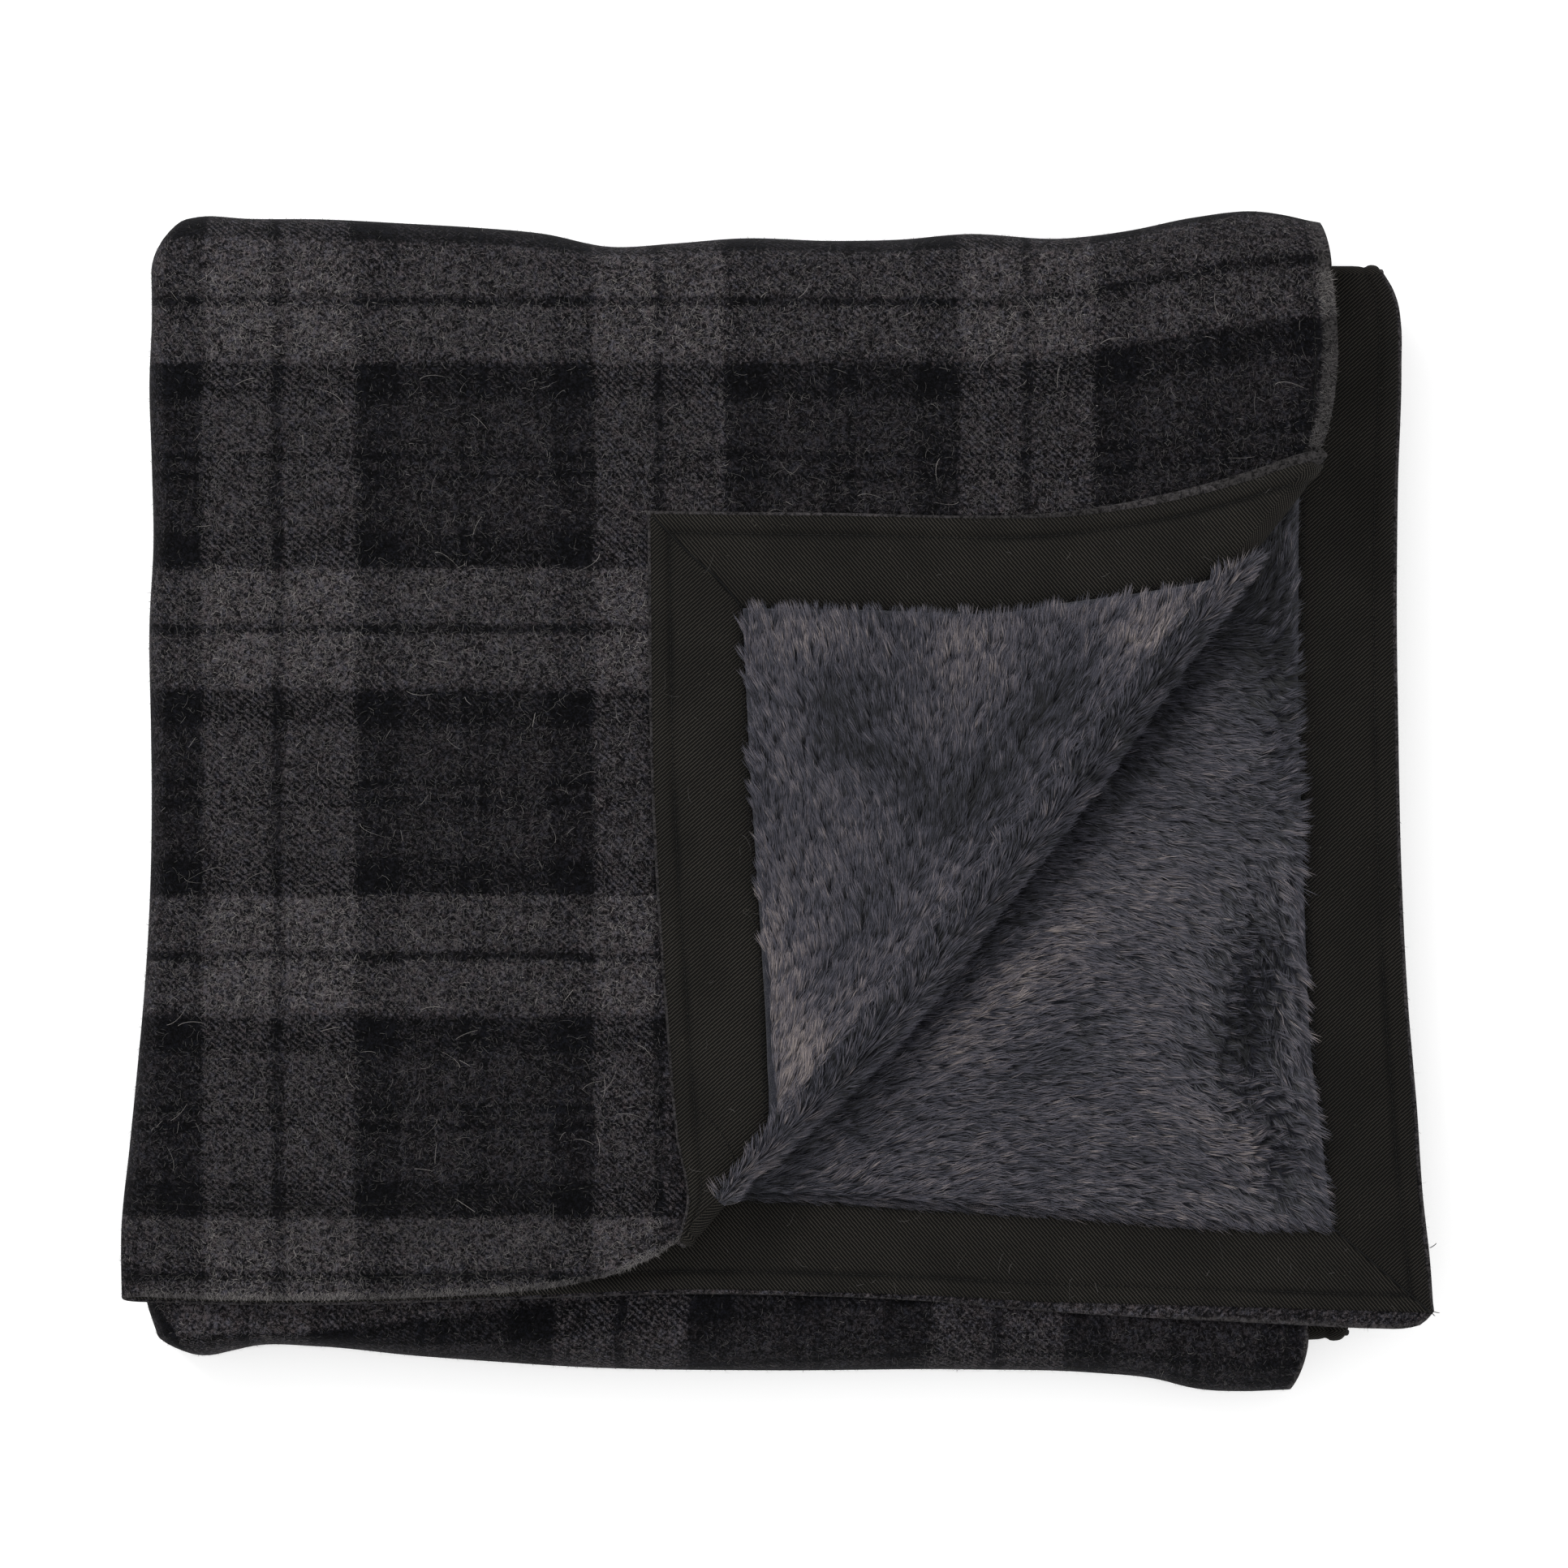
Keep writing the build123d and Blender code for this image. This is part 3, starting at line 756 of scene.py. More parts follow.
OPEN_ENDS = (0, 1, 0, 1)  # cut at front and back, rounded at the sides
SHELLS = {  # material, rings round the edge, usual bulge (front, right, back, left)
    "plaid_wool": (WOOL_MATERIAL, 3, OPEN_ENDS),
    "pile_lining": (GROUND_MATERIAL, 1, (0, 0, 0, 0)),
    "twill_facing": (BAND_MATERIAL, 2, (0, 0.6, 0, 0.6)),
}


# ---------- cloth coordinates ----------
# Plan places and the cloth millimetres they show on sheet 1
CLOTH_X = [-350, -304, -264.9, -224, -97.2, -63.2, -28.8, 95.9, 131.2, 166, 292.8, 400]
CLOTH_U = [-81, -35, 0, 35, 165, 200, 235, 365, 400, 435, 562, 669]
CLOTH_Y = [-300, -261.4, -249.8, -80, 92.9, 265.7, 282.1, 320]
CLOTH_V = [-50, -11.6, 0, 172.5, 345, 517.5, 534, 572]
# u at the right edges: sheets 1, 4 and 5 end at one edge of the cloth, 2, 3 and 6 at the other
RIGHT_U, OTHER_U = 562.0, -765.0
START_V = {3: 540.0, 4: 597.0, 5: 1165.5, 6: 1168.0}


def climb(x, y):
    """The back right of the top sheet is drawn up over the fold, and its pattern with it."""
    return 24.0 * smooth((x - 105) / 190) * (0.30 + 0.70 * smooth((y - 150) / 90))


def cloth_uv(number, x, y):
    if number == 1:
        u = np.interp(x, CLOTH_X, CLOTH_U)
        v = np.interp(y - climb(x, y), CLOTH_Y, CLOTH_V)
    else:
        inset = EDGE[number].x_of(y) - x
        u = OTHER_U + inset if number in (2, 3, 6) else RIGHT_U - inset
        skew = -38.0 * smooth((120 - x) / 460)
        from_back, from_front = BACK_Y - y, y - FRONT_Y
        if number == 2:
            v = np.interp(y, CLOTH_Y, CLOTH_V)
        elif number in (3, 4):
            v = START_V[number] + from_back
        else:
            v = START_V[number] + from_front
        if number == 3:
            v = v + skew * from_back / (BACK_Y - FRONT_Y)
        if number == 6:
            v = v + skew
    return np.stack([u, v], -1) * METRES


def edge_distance(number, x, y):
    """Distance to the nearest cut edge."""
    from_right = EDGE[number].x_of(y) - x
    if number == 1:
        return np.minimum(y - FRONT[1].y_of(x), np.where(y > 188, from_right, 900.0))
    if number == 2:
        return np.minimum(y - FRONT[2].y_of(x), from_right) + 2.6 * smooth((236 - x) / 60)
    if number in (5, 6):
        return np.minimum(from_right, BASE_BACK_Y - y)
    return from_right


# ---------- sheets, folds and rolls ----------
def sheet_plan(left, front_y, back_y, right, front=None):
    """Plan grid of one sheet, rows front to back, columns left fold to right edge."""
    levels = np.linspace(front_y, back_y, len(right))
    left = np.stack([left.x_of(levels) + FOLD_BEND, levels], -1)
    count = SHEET_STEPS + 1
    front = straight(left[0], right[0], count) if front is None else front.even(count)
    back = straight(left[-1], right[-1], count)
    front[0], front[-1] = left[0], right[0]
    share = np.linspace(0, 1, count)[None, :, None]
    depth = np.linspace(0, 1, len(right))[:, None, None]
    corners = ((1 - share) * (1 - depth) * front[0] + share * (1 - depth) * front[-1]
               + (1 - share) * depth * back[0] + share * depth * back[-1])
    return ((1 - share) * left[:, None] + share * right[:, None]
            + (1 - depth) * front[None] + depth * back[None] - corners)


def crease_then_edge(start, end, edge):
    """Right side of sheet 1, along the crease and then up the edge, and its turning row."""
    turn = int(round(TOP_ROWS * (end - start) / (end - start + edge.length)))
    crease = on_crease(np.linspace(start, end, turn + 1))
    return np.vstack([crease, edge.even(TOP_ROWS - turn + 1)[1:]]), turn


def all_plans(right_1, right, front, base_back):
    front_y = {number: curve.points[0, 1] for number, curve in front.items()}
    plans = {
        1: sheet_plan(LEFT["top"], front_y[1], BACK_Y, right_1, front[1]),
        2: sheet_plan(LEFT["top"], front_y[2], BACK_Y, right[2].even(TOP_ROWS + 1), front[2]),
    }
    for number in (3, 4, 5, 6):
        pair, back = ("middle", BACK_Y) if number < 5 else ("base", base_back)
        plans[number] = sheet_plan(LEFT[pair], FRONT_Y, back,
                                   right[number].even(LOWER_ROWS + 1))
    return plans


def round_fold(start, end, depth, steps):
    """Lines round the left fold, between two ends."""
    middle, half = (start + end) / 2, (end - start) / 2
    lines = []
    for angle in np.linspace(-math.pi / 2, math.pi / 2, steps + 1)[1:-1]:
        points = middle + half * math.sin(angle)
        points[:, 0] -= depth * math.cos(angle)
        lines.append(points)
    return np.stack(lines)


def joined(plans, pair, depths, fold_depth):
    """Grid of a pair, from the right edge of its first sheet round to that of its second.

    depths are in from the two plaid faces, fold_depth is in from the fold.
    """
    first, second = (on_sheet(number, plans[number], depth)
                     for number, depth in zip(PAIRS[pair], depths))
    first = first[:, ::-1]
    bend = round_fold(first[:, -1], second[:, 0], FOLD_BEND - fold_depth, FOLD_STEPS)
    return np.concatenate([first, bend.swapaxes(0, 1), second], 1)


def joined_values(first, second):
    """The same column layout for values on the two sheets."""
    first = first[:, ::-1]
    bend = [(1 - share) * first[:, -1] + share * second[:, 0]
            for share in np.linspace(0, 1, FOLD_STEPS + 1)[1:-1]]
    return np.concatenate([first, np.stack(bend, 1), second], 1)


Roll = namedtuple("Roll", "y sign row low high line middle_z")
ROLLS = {  # sign is the direction in y, row the row of the pairs that it begins from
    "back": Roll(BACK_Y, 1, -1, "middle", "top", BACK_LINE, 48.3),
    "front": Roll(FRONT_Y, -1, 0, "base", "middle", FRONT_LINE, 24.1),
}


def roll_bodies(roll):
    return BODY[roll.low], BODY[roll.high]


def pinch(x, side):
    """How far the outer curve of a roll draws in at its two ends."""
    if side == "back":
        return 7.0 * smooth((-285 - x) / 45) - 5.0 * smooth((x - 235) / 55)
    return 10.0 * smooth((-262 - x) / 66) - 9.0 * smooth((x - 215) / 60)


def sweep(low, high, side, steps):
    """Half ring round a roll, from the line low to the line high."""
    roll = ROLLS[side]
    middle, half = (low + high) / 2, (high - low) / 2
    radius = np.abs(half[:, 2])
    lines = []
    for angle in np.linspace(0, math.pi, steps + 1):
        points = middle - half * math.cos(angle)
        flatness = roll.sign * (roll.line.y_of(points[:, 0]) - roll.y) / ROLL_RADIUS
        points[:, 1] += roll.sign * np.maximum(flatness * radius, 0.05) * math.sin(angle)
        squeeze = np.minimum(radius / 24, 1) * math.sin(angle) ** 2
        points[:, 0] += pinch(points[:, 0], side) * squeeze
        lines.append(points)
    return np.stack(lines)


def rolled(low_layers, high_layers, side, steps):
    """Outer and inner grid of a roll between the end rows of two pieces."""
    row = ROLLS[side].row
    return [sweep(low[row], high[row], side, steps)
            for low, high in zip(low_layers, high_layers)]


def turn_grid(grid):
    return np.repeat(np.linspace(0, 1, grid.shape[0])[:, None], grid.shape[1], 1)


# ---------- wool ----------
right_1, crease_rows = crease_then_edge(0, CREASE_LENGTH, EDGE[1])
wool_plans = all_plans(right_1, EDGE, FRONT, BASE_BACK_Y)
WOOL_BULGE = {"top": (1, 1, 0, 1), "middle": OPEN_ENDS, "base": (0, 1, 1, 1)}
wool, wool_uv, wool_edge = {}, {}, {}


def right_strip_fuzz_and_highlight(x, y):
    """Paler strip along the right edge of sheet 1: fuzzy nap and a painted highlight on its
    raised ridge.
    """
    width = 8.5 + 1.6 * noise(y, 1.0, 17, 71)
    return smooth((width - (EDGE[1].x_of(y) - x)) / 2.5) * smooth((y - 184) / 6)


for pair, sheets in PAIRS.items():
    first, second = (split(wool_plans[number]) for number in sheets)
    wool[pair] = [joined(wool_plans, pair, (depth, depth), depth) for depth in (0.0, WOOL)]
    wool_uv[pair] = joined_values(cloth_uv(sheets[0], *first), cloth_uv(sheets[1], *second))
    wool_edge[pair] = joined_values(edge_distance(sheets[0], *first),
                                    edge_distance(sheets[1], *second))
    # Paler nap and a painted highlight on the strip beside the right edge of sheet 1
    fuzz_and_highlight = 0 * wool_edge[pair]
    if pair == "top":
        fuzz_and_highlight = joined_values(0 * first[0], right_strip_fuzz_and_highlight(*second))
    add_shell("plaid_wool", pair + "_plaid_wool", wool[pair], wool_uv[pair],
              [pair + "_wool"], BODY[pair], bulge=WOOL_BULGE[pair],
              attributes={"edge": wool_edge[pair], "fuzz_and_highlight": fuzz_and_highlight},
              flat_right=crease_rows if pair == "top" else -1)

wool_rolls = {}


def add_wool_roll(side):
    roll = ROLLS[side]
    layers = rolled(wool[roll.low], wool[roll.high], side, steps=24)
    turn = turn_grid(layers[0])
    share = turn[:, :1]
    low, high = wool[roll.low][0][roll.row], wool[roll.high][0][roll.row]
    rise = np.abs(high[:, 2] - low[:, 2])
    low_uv, high_uv = wool_uv[roll.low][roll.row], wool_uv[roll.high][roll.row]
    on_top = high[:, 2] > 64  # columns that belong to sheet 1
    # The pattern runs on round the roll by its own length
    length = (rise / 2 * math.pi + climb(high[:, 0], roll.y) * on_top) * METRES
    uv = np.dstack([(1 - share) * low_uv[:, 0] + share * high_uv[:, 0],
                    high_uv[:, 1] + (1 - share) * length])
    edge = ((1 - share) * wool_edge[roll.low][roll.row]
            + share * wool_edge[roll.high][roll.row])
    # The paler strip with its painted highlight runs on round the roll on sheet 1
    fuzz_and_highlight = (smooth((8.5 - (EDGE[1].x_of(roll.y) - high[:, 0])) / 2.5)[None] * on_top[None]
            * smooth((share - 0.2) / 0.3) * (roll.high == "top"))
    add_shell("plaid_wool", side + "_roll_plaid_wool", layers, uv,
              [f"{side}_fold_outer_wool", f"{side}_fold_inner_wool"], roll_bodies(roll),
              attributes={"edge": np.minimum(edge, 900), "turn": turn, "fuzz_and_highlight": fuzz_and_highlight})
    wool_rolls[side] = (layers[0][:, rise > 10], uv[:, rise > 10])


for side in ROLLS:
    add_wool_roll(side)


# ---------- wool of the turned corner ----------
# Reach of the cloth beyond the crease line, by distance along it
REACH_AT = [0, 22, 31, 66, 148, 316, 476, 522, 548]
REACH = [-2, -2, 5, 15, 26.5, 22.7, 15, 3, -2]


def crease_reach(along):
    return np.interp(along, REACH_AT, REACH)


def wool_reach(along):
    ends = np.interp(along, [0, 30, 470, 548], [0.75, 1, 1, 0.75])
    return np.maximum(4.0, crease_reach(along) - 13) * ends


def ruled(start, end, left, back, rows, cols):
    """Plan grid from the crease to the left edge, then to the back edge."""
    share = 0.004 + 0.992 * np.linspace(0.0, 1.0, rows + 1)
    crease = on_crease(start + (end - start) * share)
    outer = np.where((share < 0.5)[:, None], left.at(np.clip(share * 2, 0, 1)),
                     back.at(np.clip(share * 2 - 1, 0, 1)))
    across = np.linspace(0, 1, cols + 1)[None, :, None]
    return crease[:, None] * (1 - across) + outer[:, None] * across


def add_corner_wool():
    plan = ruled(0, CREASE_LENGTH, CORNER_LEFT, CORNER_BACK, 160, 60)
    x, y = split(plan)
    mirrored = plan - 2 * crease_out(x, y)[..., None] * CREASE_OUT
    edge = np.minimum(x - CORNER_LEFT.x_of(y), CORNER_BACK.y_of(x) - y)
    # Paler nap and a painted highlight along the corner's edges, on its right part
    fuzz_and_highlight = smooth((9.0 - edge) / 2.0) * smooth((x - 60) / 120)
    add_shell("plaid_wool", "corner_plaid_wool",
              [on_sheet("corner", plan), on_sheet("corner", plan, WOOL)],
              cloth_uv(1, *split(mirrored)), ["corner_wool"], "turned_corner",
              bulge=(0, 1, 0, 0), attributes={"edge": edge, "fuzz_and_highlight": fuzz_and_highlight})


def crease_grid(start, end, rows, spread, layer):
    """Grid over the crease, from sheet 1 to the turned corner, and places along the crease.

    start and end depend on the angle. layer gives, by place, the depth under the face of
    sheet 1, the rise over the corner's face and the reach beyond the crease line.
    """
    lines, places = [], []
    for angle in np.linspace(0, math.pi, rows + 1):
        along = start(angle) + (end(angle) - start(angle)) * spread
        below, above, reach = layer(along)
        points = on_crease(along)
        low = height_1(*points.T) - below
        high = corner_height(*points.T) + above
        out = points + (reach * math.sin(angle))[:, None] * CREASE_OUT
        z = (low + high) / 2 - (high - low) / 2 * math.cos(angle)
        lines.append(np.column_stack([out, z]))
        places.append(along)
    return np.stack(lines), np.stack(places)


def add_crease_wool():
    layers = []
    for depth in (0.0, WOOL):
        grid, along = crease_grid(lambda angle: 0.0, lambda angle: CREASE_LENGTH, 20,
                                  np.linspace(0, 1, 151),
                                  lambda along: (depth, depth, wool_reach(along) + depth))
        layers.append(grid)
    to_end = CREASE_LENGTH - along
    # Paler nap and a painted highlight towards the back end of the crease
    add_shell("plaid_wool", "crease_plaid_wool", layers,
              cloth_uv(1, *split(on_crease(along))), ["crease_wool"], CREASE_BODIES,
              attributes={"edge": np.minimum(along * 0.9, to_end * 0.9),
                          "turn": turn_grid(along), "fuzz_and_highlight": smooth((14.0 - to_end) / 4.0)})


add_corner_wool()
add_crease_wool()


# ---------- linings ----------
LINING_GAP = 0.15  # between wool and lining at the turned corner
CORNER_PILE, CREASE_PILE = 6.0, 9.3  # thickness of the pile ground there


def taper(distance, reach=9.0):
    """Rounded thinning towards an edge, from 1 to almost 0."""
    share = np.clip(distance / reach, 0, 1)
    return 0.06 + 0.94 * np.sqrt(np.maximum(1 - (1 - share) ** 2, 0))


def bumps(x, y):
    return (1.5 * noise(x, y, 34, 71, 3)
            + 0.7 * noise(x * 0.8 + y * 0.6, y * 0.8 - x * 0.6, 12, 73, 1))


def lining_depth(number, x, y):
    """Depth of the lining's inner face. It fills half the gap to the other sheet."""
    low = number + number % 2
    depth = (HEIGHT[low - 1](x, y) - HEIGHT[low](x, y)) / 2 - 0.12
    from_right = INNER[number].x_of(y) - x
    if number == 1:
        distance = np.minimum(y - INNER_FRONT[1].y_of(x), np.where(y > 139.4, from_right, 90))
    elif number == 2:
        distance = np.minimum(from_right, y - INNER_FRONT[2].y_of(x))
        # Beyond the crease it lies open and bumpy
        exposed = smooth((crease_out(x, y) + 6) / 26)
        depth = depth * (1 - exposed) + (8.2 + bumps(x, y)) * exposed
    else:
        distance = from_right
        if number >= 5:
            distance = np.minimum(distance, BASE_LINING_Y - y)
        depth = np.maximum(depth, PILE_START + 1)
    return PILE_START + (depth - PILE_START) * taper(distance)


lining_right_1, _ = crease_then_edge(PILE_FROM, LINING_TURN, INNER[1])
lining_plans = all_plans(lining_right_1, INNER, INNER_FRONT, BASE_LINING_Y)
lining = {}
for pair, sheets in PAIRS.items():
    depths = [lining_depth(number, *split(lining_plans[number])) for number in sheets]
    lining[pair] = [
        joined(lining_plans, pair, (PILE_START, PILE_START), PILE_START),
        joined(lining_plans, pair, depths, fold_depth=10.5)]
    uv = joined_values(*(lining_plans[number] * METRES for number in sheets))
    add_shell("pile_lining", pair + "_pile_lining", lining[pair], uv, [pair + "_lining"],
              BODY[pair])

for side, roll in ROLLS.items():
    layers = rolled(lining[roll.low], lining[roll.high], side, steps=16)
    add_shell("pile_lining", side + "_roll_pile_lining", layers, layers[0][..., :2] * METRES,
              [f"{side}_fold_outer_lining", f"{side}_fold_inner_lining"], roll_bodies(roll),
              attributes={"turn": turn_grid(layers[0])})


def add_corner_lining():
    """Pile ground of the turned corner; returns its upper face."""
    plan = ruled(PILE_FROM, PILE_TO, CORNER_INNER_LEFT, CORNER_INNER_BACK, 150, 56)
    x, y = split(plan)
    edge = np.minimum(np.where(y < 108, x - CORNER_INNER_LEFT.x_of(y), 900),
                      np.where(x > -19, CORNER_INNER_BACK.y_of(x) - y, 900))
    height = CORNER_PILE + 0.9 * bumps(x, y) * smooth(-crease_out(x, y) / 20)
    height = height * taper(np.maximum(edge, 0), reach=8.0)
    start = WOOL + LINING_GAP
    upper = on_sheet("corner", plan, start + height)
    add_shell("pile_lining", "corner_pile_lining", [on_sheet("corner", plan, start), upper],
              plan * METRES, ["corner_lining"], "turned_corner")
    return upper


def pile_end(angle):
    return PILE_TO + 25.0 * math.sin(angle)


def add_crease_lining():
    """Pile ground over the crease; returns its outer face."""
    def under(along):
        start = WOOL + LINING_GAP
        return start, start, wool_reach(along) + WOOL + 0.2

    def over(along):
        near_end = np.minimum((along - PILE_FROM + 3) / 14, (LINING_TURN - along + 3) / 14)
        full = np.clip(near_end, 0.12, 1.0)
        start = WOOL + LINING_GAP
        uneven = 1.6 * noise(along, 3.0, 30, 91)
        reach = np.maximum(wool_reach(along) + WOOL + 1.5,
                           crease_reach(along) - 4.0 + uneven)
        return start + CREASE_PILE * full, start + CORNER_PILE * full, reach

    spread = np.linspace(0, 1, 121)
    (inner, along), (outer, _) = (
        crease_grid(lambda angle: PILE_FROM, pile_end, 22, spread, layer)
        for layer in (under, over))
    add_shell("pile_lining", "crease_pile_lining", [inner, outer], on_crease(along) * METRES,
              ["crease_lining"], CREASE_BODIES, attributes={"turn": turn_grid(along)})
    return outer


corner_pile = add_corner_lining()
crease_pile = add_crease_lining()


# ---------- facing bands ----------
# Distance in from the outer edge, and thickness of the folded band there
BAND_AT = np.array([0, 0.6, 1.5, 3, 5, 7, 8.6, 10, 11.4, 13.5, 18, 25, 32, 38, 43, 46, 48,
                    49.3, 50])
BAND_THICK = [0.5, 1.15, 1.6, 1.9, 2.0, 1.75, 1.1, 0.75, 1.05, 1.35, 1.5, 1.45, 1.4, 1.35,
              1.3, 1.1, 0.75, 0.7, 0.45]
BAND_SHARE = BAND_AT / BAND_WIDTH
# Painted shade in the stitching grooves across the band, at the topstitch and at the inner edge
GROOVE_SHADE = np.interp(BAND_AT, [0, 7.0, 8.6, 10, 11.4, 13.5, 46, 48, 50],
                   [0, 0.0, 0.55, 1.0, 0.6, 0.0, 0, 0.5, 0.6])


def band_thickness(share):
    return np.interp(np.asarray(share) * BAND_WIDTH, BAND_AT, BAND_THICK)


def band_plan(sheet, outer, inner):
    return (outer[:, None] * (1 - BAND_SHARE)[None, :, None]
            + inner[:, None] * BAND_SHARE[None, :, None])


def band_layers(name):
    sheet, outer, inner = bands[name]
    plan = band_plan(sheet, outer, inner)
    slub = 0.12 * noise(*split(plan), 22, 55)
    start = WOOL + BAND_GAP
    return [on_sheet(sheet, plan, start),
            on_sheet(sheet, plan, start + band_thickness(BAND_SHARE)[None, :] + slub)]


def groove_shade_values(grid):
    return {"groove_shade": np.ones((grid.shape[0], 1)) * GROOVE_SHADE[None, :]}


def band_uv(grid, turned):
    """Plan coordinates, given a quarter turn for bands cut the other way."""
    x, y = split(grid)
    return (np.dstack([-y, x]) if turned else np.dstack([x, y])) * METRES


def add_band(name, turned, material=None):
    layers = band_layers(name)
    add_shell("twill_facing", name, layers, band_uv(layers[0], turned), [name],
              BODY[name.split("_")[0]], attributes=groove_shade_values(layers[0]), material=material)


def add_band_round_fold(name, turned):
    """Band that runs on round the left fold from the lower sheet to the upper."""
    layers = []
    for lower, upper, depth in zip(band_layers(name + "_lower"), band_layers(name + "_upper"),
                                   (FOLD_BEND - WOOL, FOLD_BEND - WOOL - 1.3)):
        bend = round_fold(lower[0], upper[0], depth, steps=10)
        layers.append(np.concatenate([lower[::-1], bend, upper]))
    add_shell("twill_facing", name, layers, band_uv(layers[0], turned), [name],
              BODY[name.split("_")[0]], attributes=groove_shade_values(layers[0]))


def add_rolled_band(side, layer, low, high, turned):
    roll = ROLLS[side]
    layers = rolled(band_layers(low), band_layers(high), side, steps=18)
    turn = turn_grid(layers[0])
    uv = np.dstack([layers[0][..., 0] * METRES * (-1 if turned else 1), turn * 0.03])
    add_shell("twill_facing", f"{side}_roll_band_{layer}", layers, uv,
              [f"{side}_fold_{layer}_band"], roll_bodies(roll),
              attributes={"turn": turn, **groove_shade_values(turn)})


def add_crease_band(name, start, end, turned):
    """Band over the crease. Its width runs along the crease."""
    layers = []
    for thick in (0.0, band_thickness(BAND_SHARE)):
        depth = WOOL + BAND_GAP + thick
        grid, along = crease_grid(
            start, end, 24, BAND_SHARE,
            lambda along: (depth, depth, wool_reach(along) + WOOL + 0.2 + thick))
        layers.append(grid)
    steps = np.linalg.norm(np.diff(layers[1], axis=0), axis=2)
    run = np.vstack([np.zeros((1, len(BAND_SHARE))), np.cumsum(steps, axis=0)])
    uv = band_uv(np.dstack([along, run]), turned)
    add_shell("twill_facing", name, layers, uv, [name], CREASE_BODIES,
              attributes={"turn": turn_grid(along), **groove_shade_values(along)})


def beside(curve, inset, start_y, end_y, count=80):
    """Line at a distance to the left of a right-hand curve."""
    y = np.linspace(start_y, end_y, count)
    return np.stack([curve.x_of(y) - inset, y], -1)


def top_left(y):
    return LEFT["top"].x_of(y) + FOLD_BEND


def band_lines():
    """Outer and inner plan lines of every flat band, with the sheet it lies on."""
    right_outer, right_inner = BAND_RIGHT_2.even(110), INNER[2].even(110)
    right_outer[-1, 1] = right_inner[-1, 1] = BACK_Y
    lower_outer, lower_inner = BAND_FRONT_2.even(150), INNER_FRONT[2].even(150)
    lower_outer[0] = [top_left(-262.0), -262.2]
    lower_inner[0] = [top_left(-211.5), -211.5]
    upper_outer = FRONT[1].even(90) + [0, 0.7]
    upper_inner = Curve(INNER_FRONT_1 + [on_crease(PILE_FROM - 2)]).even(90)
    upper_outer[0] = [top_left(-259.0), -258.9]
    upper_inner[0] = [top_left(-210.0), -210.0]
    lines = {
        "top_band_right_lower": (2, right_outer, right_inner),
        "top_band_front_lower": (2, lower_outer, lower_inner),
        "top_band_right_upper": (1, beside(EDGE[1], 0.7, 201.0, BACK_Y, 40),
                                 beside(INNER[1], 0.0, 156.0, BACK_Y, 40)),
        "top_band_front_upper": (1, upper_outer, upper_inner),
    }
    for name, sheet in (("middle_band_right_upper", 3), ("middle_band_right_lower", 4),
                        ("base_band_right_upper", 5), ("base_band_right_lower", 6)):
        outer_y, inner_y = BACK_Y, BACK_Y
        if sheet > 4:
            outer_y, inner_y = BASE_BACK_Y - BAND_INSET, BASE_LINING_Y
        lines[name] = (sheet, beside(EDGE[sheet], BAND_INSET, FRONT_Y, outer_y),
                       beside(INNER[sheet], 0, FRONT_Y, inner_y))
    left_x = LEFT["base"].x_of(286.0) + FOLD_BEND
    for level in ("lower", "upper"):
        sheet, outer, inner = lines["base_band_right_" + level]
        lines["base_band_back_" + level] = (
            sheet, straight((left_x, BASE_BACK_Y - BAND_INSET), outer[-1], 100),
            straight((left_x, BASE_LINING_Y), inner[-1], 100))

    left_outer = CORNER_LEFT.even(120) + [0.9, 0]
    back_outer = CORNER_BACK.even(130) - [0, 1.0]
    # The back band slides down the crease towards its right end
    slide = smooth((back_outer[:, 0] - 90) / 190)[:, None]
    back_outer = back_outer + slide * (on_crease(CREASE_LENGTH - 8.0) - CREASE_END + [0, 1.0])
    left_outer[-1] = back_outer[0] = [-67.3, 153.6]
    lines["corner_band_right"] = ("corner", left_outer, CORNER_INNER_LEFT.even(120))
    lines["corner_band_front"] = ("corner", back_outer, CORNER_INNER_BACK.even(130))
    return lines


bands = band_lines()
# The band on sheet 2 takes the darker copy of the twill: painted shade
add_band("top_band_right_lower", turned=True, material=SHADED_BAND_MATERIAL)
add_band("top_band_right_upper", turned=False)
add_band_round_fold("top_band_front", turned=False)
add_band("middle_band_right_upper", turned=True)
add_band("middle_band_right_lower", turned=False)
add_band("base_band_right_upper", turned=False)
add_band("base_band_right_lower", turned=True)
add_band_round_fold("base_band_back", turned=True)
for side, layer, low, high, turned in (
        ("back", "outer", "middle_band_right_lower", "top_band_right_upper", False),
        ("back", "inner", "middle_band_right_upper", "top_band_right_lower", True),
        ("front", "outer", "base_band_right_lower", "middle_band_right_upper", False),
        ("front", "inner", "base_band_right_upper", "middle_band_right_lower", True)):
    add_rolled_band(side, layer, low, high, turned)
add_band("corner_band_right", turned=True)
add_band("corner_band_front", turned=False)
add_crease_band("crease_band_front", lambda angle: 1.0, lambda angle: PILE_FROM + 4.0, False)
add_crease_band("crease_band_right",
                lambda angle: CREASE_LENGTH - 8.0 + 7.0 * (0.5 + 0.5 * math.cos(angle)),
                lambda angle: pile_end(angle) - 4.0, True)


# ---------- threads ----------
ZIGZAG_STEP, ZIGZAG_SWING = 3.0, 2.4  # half a zigzag along the seam, and to each side of it
STITCH_RADIUS, ZIGZAG_RADIUS = 0.34, 0.26


